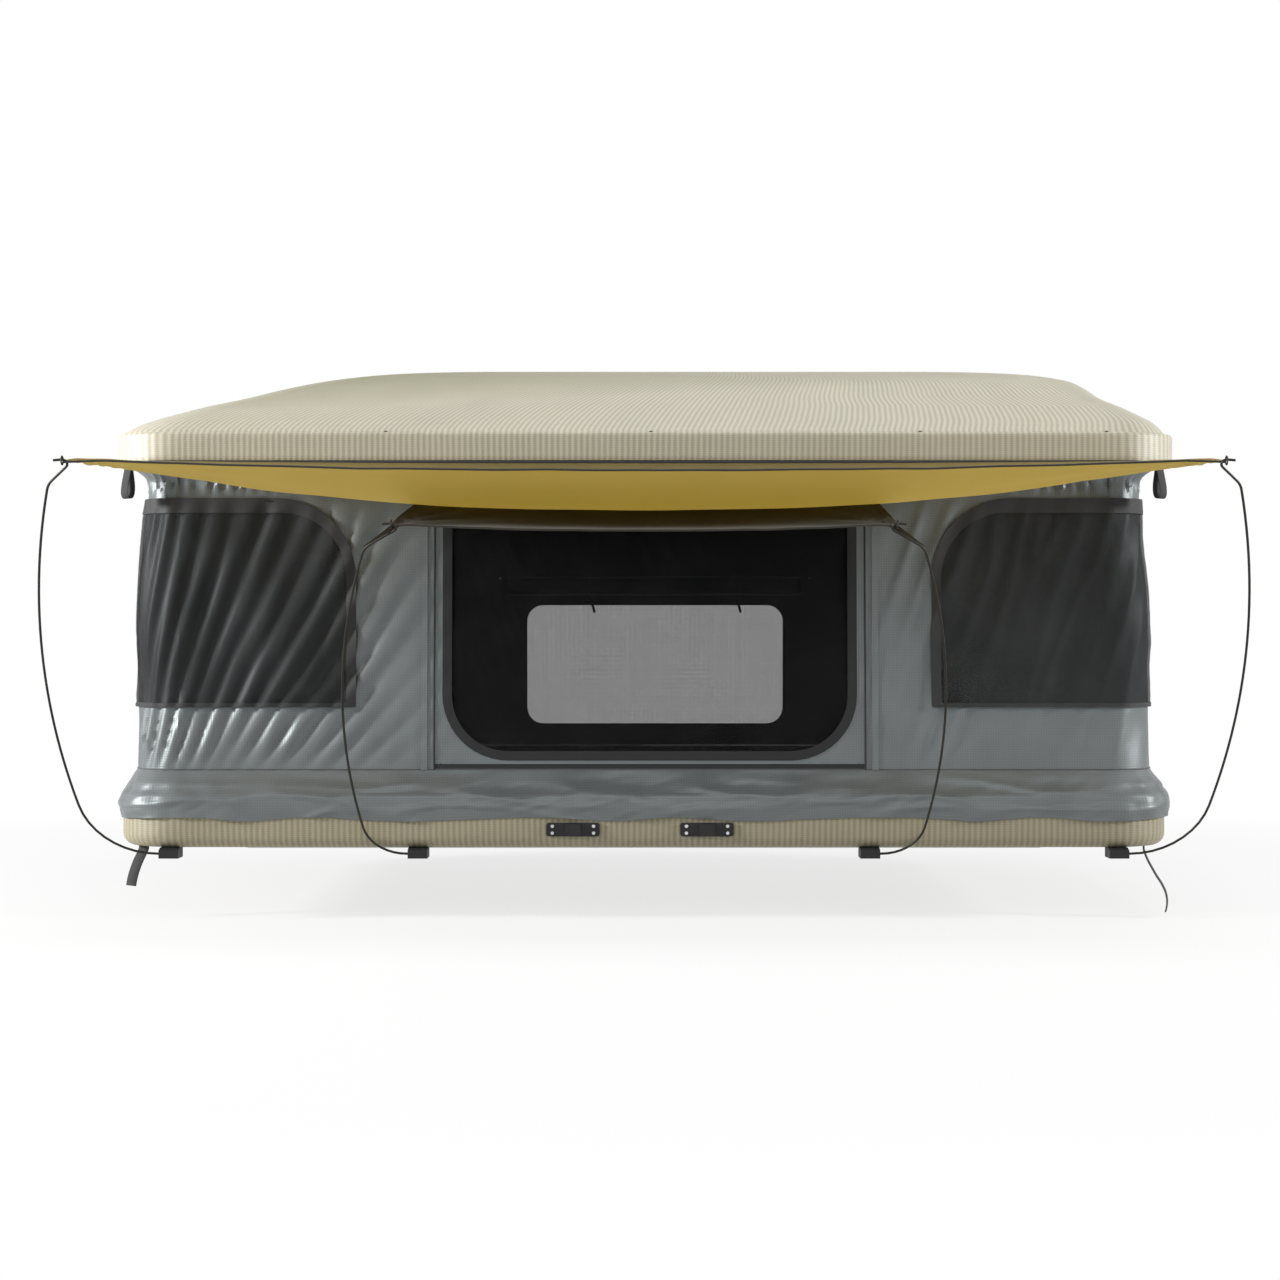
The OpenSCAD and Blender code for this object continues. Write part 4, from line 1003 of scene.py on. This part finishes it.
def add_door():
    radii = [DOOR_CORNER, DOOR_CORNER, SMALL_CORNER, SMALL_CORNER]
    top = BROW + HEADER_LAP
    outer_box = (DOOR_LEFT + ZIP, DOOR_RIGHT - ZIP, DOOR_LOW, top)
    surround = frame_cloth("door_surround", outer_box, DOOR_BOX, radii)
    net = net_cloth("door_net", rounded_fill(DOOR_BOX, radii), door_mesh_cloth)
    door = sewn("door_panel", net, surround)
    hang(door, "mesh_cloth", "door_mesh", top - DOOR_LOW)
    tape_both_sides("door_tape", DOOR_BOX, radii)
    for name, outside, outwards in (("door_zip_left", DOOR_LEFT, -1), ("door_zip_right", DOOR_RIGHT, 1)):
        left, right = sorted((outside, outside - outwards * ZIP))
        flap = wall_cloth(name, box_grid(left, right, DOOR_LOW, top, 0.006))
        hang(flap, "zip_tape", "door_zips", BROW - DOOR_LOW)
        line = [wall_point(outside, z, COIL_PROUD) for z in steps(SKIRT_LEVEL, BROW, 0.01)]
        dress(tube(name + "_coil", line, COIL_RADIUS, black_tape), "zip_tape")
        edge = outside + outwards * SEAM_SHIFT
        span = sorted((edge, edge + outwards * SEAM))
        fold = box_grid(*span, SKIRT_LEVEL, BROW, 0.005)
        seam = wall_cloth(name + "_seam", fold, silver_cloth, silver_cloth, SEAM_PROUD, SEAM_THICKNESS)
        dress(seam, "wall_cloth")
    fold = box_grid(DOOR_LEFT, DOOR_RIGHT, SKIRT_LEVEL, DOOR_LOW, 0.006)
    sill = wall_cloth("door_zip_sill", fold, black_tape, lining_cloth, SILL_PROUD)
    hang(sill, "zip_tape", "door_zips", DOOR_LOW - SKIRT_LEVEL)


FLAP_LEFT = -0.340
FLAP_RIGHT = 0.395
FLAP_THICKNESS = 0.0012
ROLL_PLACE = (0.5773, 0.583)
ROLL_CORE = 0.006
ROLL_RADIUS = 0.0235
ROLL_TURNS = 3.5
ROLL_PARTS = 90
BAND_RADIUS = 0.0255
BAND_THICKNESS = 0.0022
TOGGLE_RADIUS = 0.0032
TOGGLES = (-0.134, 0.233)


def roll_slack(x, t):
    """Loose or tight turns of the roll, nipped in at the toggles."""
    nip = min(abs(x - toggle) for toggle in TOGGLES)
    return (1 + 0.05 * noise.noise(Vector((x / 0.09, t * 2, 1.0)))) * (0.93 + 0.07 * fade(nip, 0.0, 0.06))


def add_rear_flap():
    """The rear window's cover, rolled up above it inside and held by two toggles."""
    y, z = ROLL_PLACE
    rows, uv, spiral = [], [], []
    length = 0.0
    for k in range(ROLL_PARTS + 1):
        t = k / ROLL_PARTS
        radius = ROLL_CORE + (ROLL_RADIUS - ROLL_CORE) * t
        turn = 2 * math.pi * ROLL_TURNS * t + math.pi / 2
        spiral.append((radius * math.cos(turn), radius * math.sin(turn)))
        length += math.dist(*spiral[-2:]) if k else 0.0
        for x in steps(FLAP_LEFT, FLAP_RIGHT, 0.02):
            slack = roll_slack(x, t)
            rows.append(Vector((x, y + spiral[-1][0] * slack, z + spiral[-1][1] * slack)))
            uv.append((rows[-1].x, length))
    columns = len(rows) // (ROLL_PARTS + 1)
    piece = make_piece("rear_flap_roll", rows, quads(ROLL_PARTS + 1, columns), [lining_cloth], uv)
    piece.modifiers.new("thickness", "SOLIDIFY").thickness = FLAP_THICKNESS
    apply_modifiers(piece)
    dress(piece, "wall_cloth", "rear_flap")
    for i, x in enumerate(TOGGLES, 1):
        band = circle(Vector((x, y, z)), BAND_RADIUS)
        dress(tube(f"toggle_band_{i}", band, BAND_THICKNESS, black_tape), "zip_tape", "flap_toggles")
        tail = [Vector((x + 0.003 * k, y - 0.012, z - 0.024 - 0.011 * k)) for k in range(5)]
        dress(tube(f"toggle_tail_{i}", tail, TOGGLE_RADIUS, black_plastic), "black_plastic", "flap_toggles")


add_walls()
add_rear_wall()
add_skirt()
add_end_windows()
add_door()
add_rear_flap()


# Awnings: cloth between the lid or the wall and the hooks of the poles

OUTER_HOOK = Vector((1.0792, -1.1214, 0.7804))
INNER_HOOK = Vector((0.4702, -1.1140, 0.6624))
HOOK_TO_CLOTH = Vector((0.0, 0.0129, -0.0016))
HOOK_TO_EYELET = Vector((0, 0.003, -0.0016))
AWNING_BACK_X = 1.008
AWNING_BACK_Z = 0.8096
AWNING_SAG = 0.088
AWNING_SLACK = (0.014, 0.014)
DOOR_AWNING_BACK = 0.436
DOOR_AWNING_SHIFT = 0.012
DOOR_AWNING_Z = 0.762
DOOR_AWNING_Y = -0.6013
DOOR_AWNING_SAG = 0.026
DOOR_AWNING_SLACK = (0.010, 0.008)
TAIL_REACH = Vector((0.052, 0.0, -0.044))
HEM_RADIUS = 0.0020
EYELET_RADIUS = 0.008
EYELET_WIRE = 0.0015
BINDINGS = (("front", 1.0, 0.0022, dark_binding), ("back", 0.0, 0.0042, black_tape))

# How the awnings would be drawn into the closed shell, kept with them but not applied: what is left of them,
# slopes and places
LONG_TUCK = math.radians(7.5)
LONG_TUCK_PLACE = (0, -0.622, 0.821)
DOOR_TUCK_SLOPE = math.radians(17)
DOOR_TUCK_REACH = 0.30


def rim_line(x):
    over = max(0.0, abs(x) - CORE_X)
    reach = LID_RADIUS - 0.004
    return -CORE_Y - math.sqrt(max(0.0, reach * reach - over * over))


def corner_pull(u, v, seed):
    """Small radiating creases towards the hooked corners, none at the back edge."""
    side = (1 - abs(u)) * 2.2
    away = math.hypot(side, 1 - v)
    angle = math.atan2(1 - v, side + 1e-6)
    strength = max(0.0, 1 - away / 1.1) * min(1.0, away / 0.15)
    pull = 0.006 * strength * math.sin(angle * 16 + seed) + 0.0015 * noise.noise(Vector((u * 9, v * 3, seed)))
    return pull * min(1.0, v / 0.1)


def awning_point(u, v, back, hook, slack, sag, seed, pull):
    """A place across and down an awning; slack is how far its front edge bows back and down."""
    bow = 1 - u * u
    edge = hook + HOOK_TO_CLOTH
    p = back.lerp(Vector((u * edge.x, edge.y + slack[0] * bow, edge.z - slack[1] * bow)), v)
    p.z -= sag * (1 - abs(u) ** 2.5) * math.sin(math.pi * v ** 0.85)
    p.z += corner_pull(u, v, seed) * pull
    return p


def long_awning_point(u, v):
    back = Vector((u * AWNING_BACK_X, rim_line(u * AWNING_BACK_X), AWNING_BACK_Z))
    return awning_point(u, v, back, OUTER_HOOK, AWNING_SLACK, AWNING_SAG, 1.0, 1.0)


def door_awning_point(u, v):
    back = Vector((DOOR_AWNING_SHIFT + u * DOOR_AWNING_BACK, DOOR_AWNING_Y, DOOR_AWNING_Z))
    return awning_point(u, v, back, INNER_HOOK, DOOR_AWNING_SLACK, DOOR_AWNING_SAG, 2.0, 0.6)


Awning = namedtuple("Awning", "name place hook columns rows cloth slot axis anchor")


def tuck_in(piece, awning, slot, *nodes):
    """Rides on the lid, with a mesh of its own."""
    put(piece, "lid", slot, *nodes)
    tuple(awning.axis)
    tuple(awning.anchor)
    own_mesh(piece)
    return piece


def cloth_size(place):
    """Flat width and depth of an awning, along its middle lines."""
    across = [place(2 * k / 60 - 1, 0.5) for k in range(61)]
    down = [place(0.0, k / 40) for k in range(41)]
    return line_length(across), line_length(down)


def lowered(line, drop):
    return [p - Vector((0, 0, drop)) for p in line]


def add_awning(awning, node):
    name, place, hook, columns, rows, cloth, slot = awning[:7]
    widths = [2 * j / columns - 1 for j in range(columns + 1)]
    depths = [i / rows for i in range(rows + 1)]
    surface = [[place(u, v) for u in widths] for v in depths]
    below = [lowered(row, CLOTH) for row in surface]
    uv = [[(p.x, p.y) for p in row] for row in surface]
    sheet = tuck_in(sheet_piece(name, below, surface, uv, cloth, cloth), awning, slot, node)
    cloth_size(place)
    for edge, v, radius, finish in BINDINGS:
        line = lowered([place(u, v) for u in widths], radius)
        tuck_in(tube(f"{name}_{edge}_binding", line, radius, finish), awning, slot)
    for side, label in SIDES:
        line = lowered([place(side, v) for v in depths], CLOTH / 2)
        tuck_in(tube(f"{name}_{label}_hem", line, HEM_RADIUS, cloth), awning, slot)
        ring = circle(Vector((side * hook.x, hook.y, hook.z)) + HOOK_TO_EYELET, EYELET_RADIUS)
        tuck_in(tube(f"{name}_{label}_eyelet", ring, EYELET_WIRE, pole_steel), awning, "steel")


def add_corner_tail(awning, side, label):
    """A pointed corner of the awning that hangs out past the hook."""
    hook = awning.hook
    tip = Vector((side * (hook.x + TAIL_REACH.x), hook.y, hook.z + TAIL_REACH.z))
    root = [awning.place(side * (1 - 0.05 * k / 4), 1.0) for k in range(5)]
    front = [[p.lerp(tip + (p - root[2]) * 0.08, t / 6) for p in root] for t in range(7)]
    behind = [[p + Vector((0, CLOTH, 0)) for p in row] for row in front]
    uv = [[(p.x, p.z) for p in row] for row in front]
    piece = sheet_piece(f"{awning.name}_tail_{label}", front, behind, uv, awning.cloth, awning.cloth)
    tuck_in(piece, awning, awning.slot)


def add_awnings():
    long_awning = Awning(
        "long_awning", long_awning_point, OUTER_HOOK, 140, 36, gold_cloth, "awning_cloth",
        (0, -math.cos(LONG_TUCK), -math.sin(LONG_TUCK)), LONG_TUCK_PLACE,
    )
    add_awning(long_awning, "main_awning")
    tuck = Vector((0, -math.cos(DOOR_TUCK_SLOPE), -math.sin(DOOR_TUCK_SLOPE)))
    inside = Vector((0, DOOR_AWNING_Y, DOOR_AWNING_Z)) - DOOR_TUCK_REACH * tuck
    # The canopy's cloth is the darkened gold, a painted shade
    canopy = Awning(
        "door_canopy", door_awning_point, INNER_HOOK, 80, 30, painted_shade_gold_cloth, "door_awning_cloth",
        tuple(tuck), tuple(inside),
    )
    add_awning(canopy, "door_awning")
    for side, label in SIDES:
        add_corner_tail(canopy, side, label)


add_awnings()


# Awning poles: planar rods bent from a straight shank, leaning forwards

POLE_RADIUS = 0.0025
SHANK_IN = 0.018
SHANK_OUT = 0.024
SOCKET_Y = -0.640
SOCKET_Z = 0.010
HOOK_RADIUS = 0.009
HOOK_BEND = [(HOOK_RADIUS, -6), (0.015, 0)]
OUTER_PATH = [(0.150, 79), (1.610, 26), (0.040, 31), (0.042, 0), (HOOK_RADIUS, -136), *HOOK_BEND]
INNER_PATH = [(0.085, 80), (1.433, 27), (0.040, 40), (0.055, 0), (HOOK_RADIUS, -147), *HOOK_BEND]

# Each kind's socket from the middle, its path and its lean in degrees
POLES = {"outer": (0.968, OUTER_PATH, 32), "inner": (0.461, INNER_PATH, 36)}


def rod_line(path):
    """Points of a bent rod in its own plane: straight runs have no turn, bends a radius and a turn."""
    line = [(-SHANK_IN, 0.0), (0.0, 0.0), (SHANK_OUT, 0.0)]
    heading = 0.0
    for size, turn in path:
        u, w = line[-1]
        if turn == 0:
            line += [(u + size * t * math.cos(heading), w + size * t * math.sin(heading)) for t in (0.5, 1.0)]
            continue
        hand = math.copysign(1, turn)
        count = max(2, math.ceil(abs(turn) / (1.0 if size > 1 else 9.0)))
        for k in range(1, count + 1):
            after = heading + math.radians(turn) * k / count
            line.append((
                u + hand * size * (math.sin(after) - math.sin(heading)),
                w + hand * size * (math.cos(heading) - math.cos(after)),
            ))
        heading += math.radians(turn)
    return line


def add_poles():
    for kind, (socket, path, lean) in POLES.items():
        forwards, up = math.sin(math.radians(lean)), math.cos(math.radians(lean))
        for side, label in SIDES:
            line = [
                Vector((side * (socket + u), SOCKET_Y - w * forwards, SOCKET_Z + w * up))
                for u, w in rod_line(path)
            ]
            node = f"pole_{kind}_{label}"
            put(tube(f"{kind}_rod_{label}", line, POLE_RADIUS, pole_steel, 14), node, "steel", node)


add_poles()


# Mattress

MATTRESS_LOW = 0.0463
PAD_CORNER = 0.06
PAD_HALF = Vector((0.953, 0.603))
PAD_HEIGHT = 0.075
PAD_SPARE = 0.006
FOAM_HEIGHT = 0.064
FOAM_EDGE = 0.016
FOAM_MARGIN = 0.12
CHANNEL_STEP = 0.27
CHANNEL_DEPTH = 0.006
CHANNEL_HALF = 0.022


def pad_shape():
    """The foam pad before its cover swells: a rounded slab, a little smaller than the finished pad."""
    high = MATTRESS_LOW + FOAM_HEIGHT
    levels = [(-FOAM_MARGIN, MATTRESS_LOW)]
    for k in range(7):
        turn = math.pi * k / 6 - math.pi / 2
        middle = MATTRESS_LOW + FOAM_EDGE if k < 3.5 else high - FOAM_EDGE
        levels.append((FOAM_EDGE * (math.cos(turn) - 1), middle + FOAM_EDGE * math.sin(turn)))
    levels.append((-FOAM_MARGIN, high))
    half_x, half_y = PAD_HALF.x - PAD_SPARE, PAD_HALF.y - PAD_SPARE
    rings = [stretched_ring(half_x + out, half_y + out, PAD_CORNER, z, 0.0, ROUND[::2]) for out, z in levels]
    return loft("mattress_pad", rings, cover_cloth)


def swell(piece, voxel, pressure, cap, frames):
    """The cover inflated by cloth simulation, with each point's move capped."""
    remesh = piece.modifiers.new("remesh", "REMESH")
    remesh.mode = "VOXEL"
    remesh.voxel_size = voxel
    apply_modifiers(piece)
    start = [v.co.copy() for v in piece.data.vertices]
    cloth = piece.modifiers.new("cloth", "CLOTH")
    cloth.settings.use_pressure = True
    cloth.settings.uniform_pressure_force = pressure
    cloth.settings.effector_weights.gravity = 0
    cloth.point_cache.frame_start = 1
    cloth.point_cache.frame_end = frames
    for frame_number in range(1, frames + 1):
        scene.frame_set(frame_number)
    apply_modifiers(piece)
    scene.frame_set(1)
    for vertex, home in zip(piece.data.vertices, start):
        move = vertex.co - home
        if move.length > cap:
            vertex.co = home + move * (cap / move.length)


def sew_channels(piece):
    """The swollen pad drawn out to its full size, flat on the floor panel, with channels sewn across it."""
    points = [v.co for v in piece.data.vertices]
    reach_x = max(p.x for p in points)
    reach_y = max(p.y for p in points)
    top = max(p.z for p in points)
    for p in points:
        p.x *= PAD_HALF.x / reach_x
        p.y *= PAD_HALF.y / reach_y
        p.z = max(MATTRESS_LOW, MATTRESS_LOW + (p.z - MATTRESS_LOW) * PAD_HEIGHT / (top - MATTRESS_LOW))
        if p.z > MATTRESS_LOW + 0.7 * PAD_HEIGHT:
            off = abs((p.x / CHANNEL_STEP + 0.5) % 1 - 0.5) * CHANNEL_STEP
            p.z -= CHANNEL_DEPTH * max(0.0, 1 - off / CHANNEL_HALF) ** 2


def add_mattress():
    """A crowned foam pad in a quilted cover."""
    piece = pad_shape()
    swell(piece, voxel=0.012, pressure=4.0, cap=0.011, frames=18)
    sew_channels(piece)
    piece.data.polygons.foreach_set("use_smooth", [True] * len(piece.data.polygons))
    put(piece, "base", "mattress_cover", "mattress")


add_mattress()


# Finishes of the CAD pieces that show as they are

NODE_FINISH = {
    plywood: ["floor_panel"],
    alloy: [
        "mounting_rail_front", "mounting_rail_rear", "base_tracks", "lift_arm_left", "lift_arm_right",
        "cross_arm_left", "cross_arm_right", "lid_frame", "lid_crossbars", "lid_tracks",
    ],
    zinc: [
        "rail_bolts", "base_pivots", "strut_feet", "bracket_screws", "lift_fittings_left",
        "lift_fittings_right", "strut_rod_left", "strut_rod_right", "lid_pivots",
    ],
    black_plastic: [
        "rail_end_caps", "ladder_bracket_left", "ladder_bracket_right", "pole_sockets", "cross_glide_left",
        "cross_glide_right",
    ],
    black_paint: ["strut_cylinder_left", "strut_cylinder_right", "lid_rivets"],
    rubber: ["lid_seal"],
    liner_felt: ["lid_liner"],
}
for material, names in NODE_FINISH.items():
    for name in names:
        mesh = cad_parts[name].data
        mesh.materials.clear()
        mesh.materials.append(material)


# Floor and light

FLOOR_HALF = 30.0
FLOOR_GAP = 0.012
FLOOR_GREY = 0.86
WHITE = (1, 1, 1, 1)

# Inputs of the Map Range nodes: where the floor's shadow fades and how white it is at both ends,
# and the world's level as light and as it is seen
SHADOW_FADE = {1: 0.9, 2: 3.2, 3: 0.76, 4: 1.0}
WORLD_LEVELS = {3: 0.15, 4: 1.0}


def floor_material():
    """White to the camera and in reflections, lit by the lamps otherwise, with part of the shadow kept."""
    nodes, place, _ = new_nodes("pale_floor", "Object")
    shader = nodes.tree.nodes["Principled BSDF"]
    nodes.fill(shader, {"Base Color": (FLOOR_GREY, FLOOR_GREY, FLOOR_GREY, 1), "Roughness": 0.9})
    white = nodes.add("Emission", {"Color": WHITE, "Strength": 1.0}).outputs[0]
    away = nodes.add("VectorMath", {0: place}, operation="LENGTH").outputs["Value"]
    clear = nodes.add("MapRange", {0: away, **SHADOW_FADE}).outputs[0]
    share = nodes.times(nodes.seen(), clear)
    mixed = nodes.add("MixShader", {0: share, 1: shader.outputs[0], 2: white}).outputs[0]
    nodes.fill(nodes.tree.nodes["Material Output"], {0: mixed})
    return nodes.owner


def add_stage():
    low = cad_low.z - FLOOR_GAP
    corners = [(-1, -1), (1, -1), (1, 1), (-1, 1)]
    mesh = bpy.data.meshes.new("floor")
    mesh.from_pydata([(x * FLOOR_HALF, y * FLOOR_HALF, low) for x, y in corners], [], [(0, 1, 2, 3)])
    mesh.materials.append(floor_material())
    new_object("floor", mesh)


def add_world():
    world = bpy.data.worlds.new("studio")
    nodes = Nodes(world)
    level = nodes.add("MapRange", {0: nodes.seen(), **WORLD_LEVELS}).outputs[0]
    nodes.fill(nodes.tree.nodes["Background"], {0: WHITE, 1: level})
    scene.world = world


def add_lamp(name, place, target, size, power):
    data = bpy.data.lights.new(name, "AREA")
    data.shape = "DISK"
    data.size = size
    data.energy = power
    lamp = new_object(name, data)
    lamp.location = place
    lamp.rotation_euler = (Vector(target) - Vector(place)).to_track_quat("-Z", "Y").to_euler()


add_stage()
add_world()
add_lamp("left_rake", (-5.0, -1.8, 1.6), (-0.6, -0.5, 0.45), 0.8, 330)
add_lamp("right_rake", (5.0, -1.6, 1.6), (0.7, -0.5, 0.45), 0.8, 165)
add_lamp("front", (0.3, -6.5, 3.4), (0, -0.5, 0.6), 2.6, 44)
add_lamp("top", (0.6, -0.9, 4.8), (0, -0.4, 0.8), 2.6, 80)
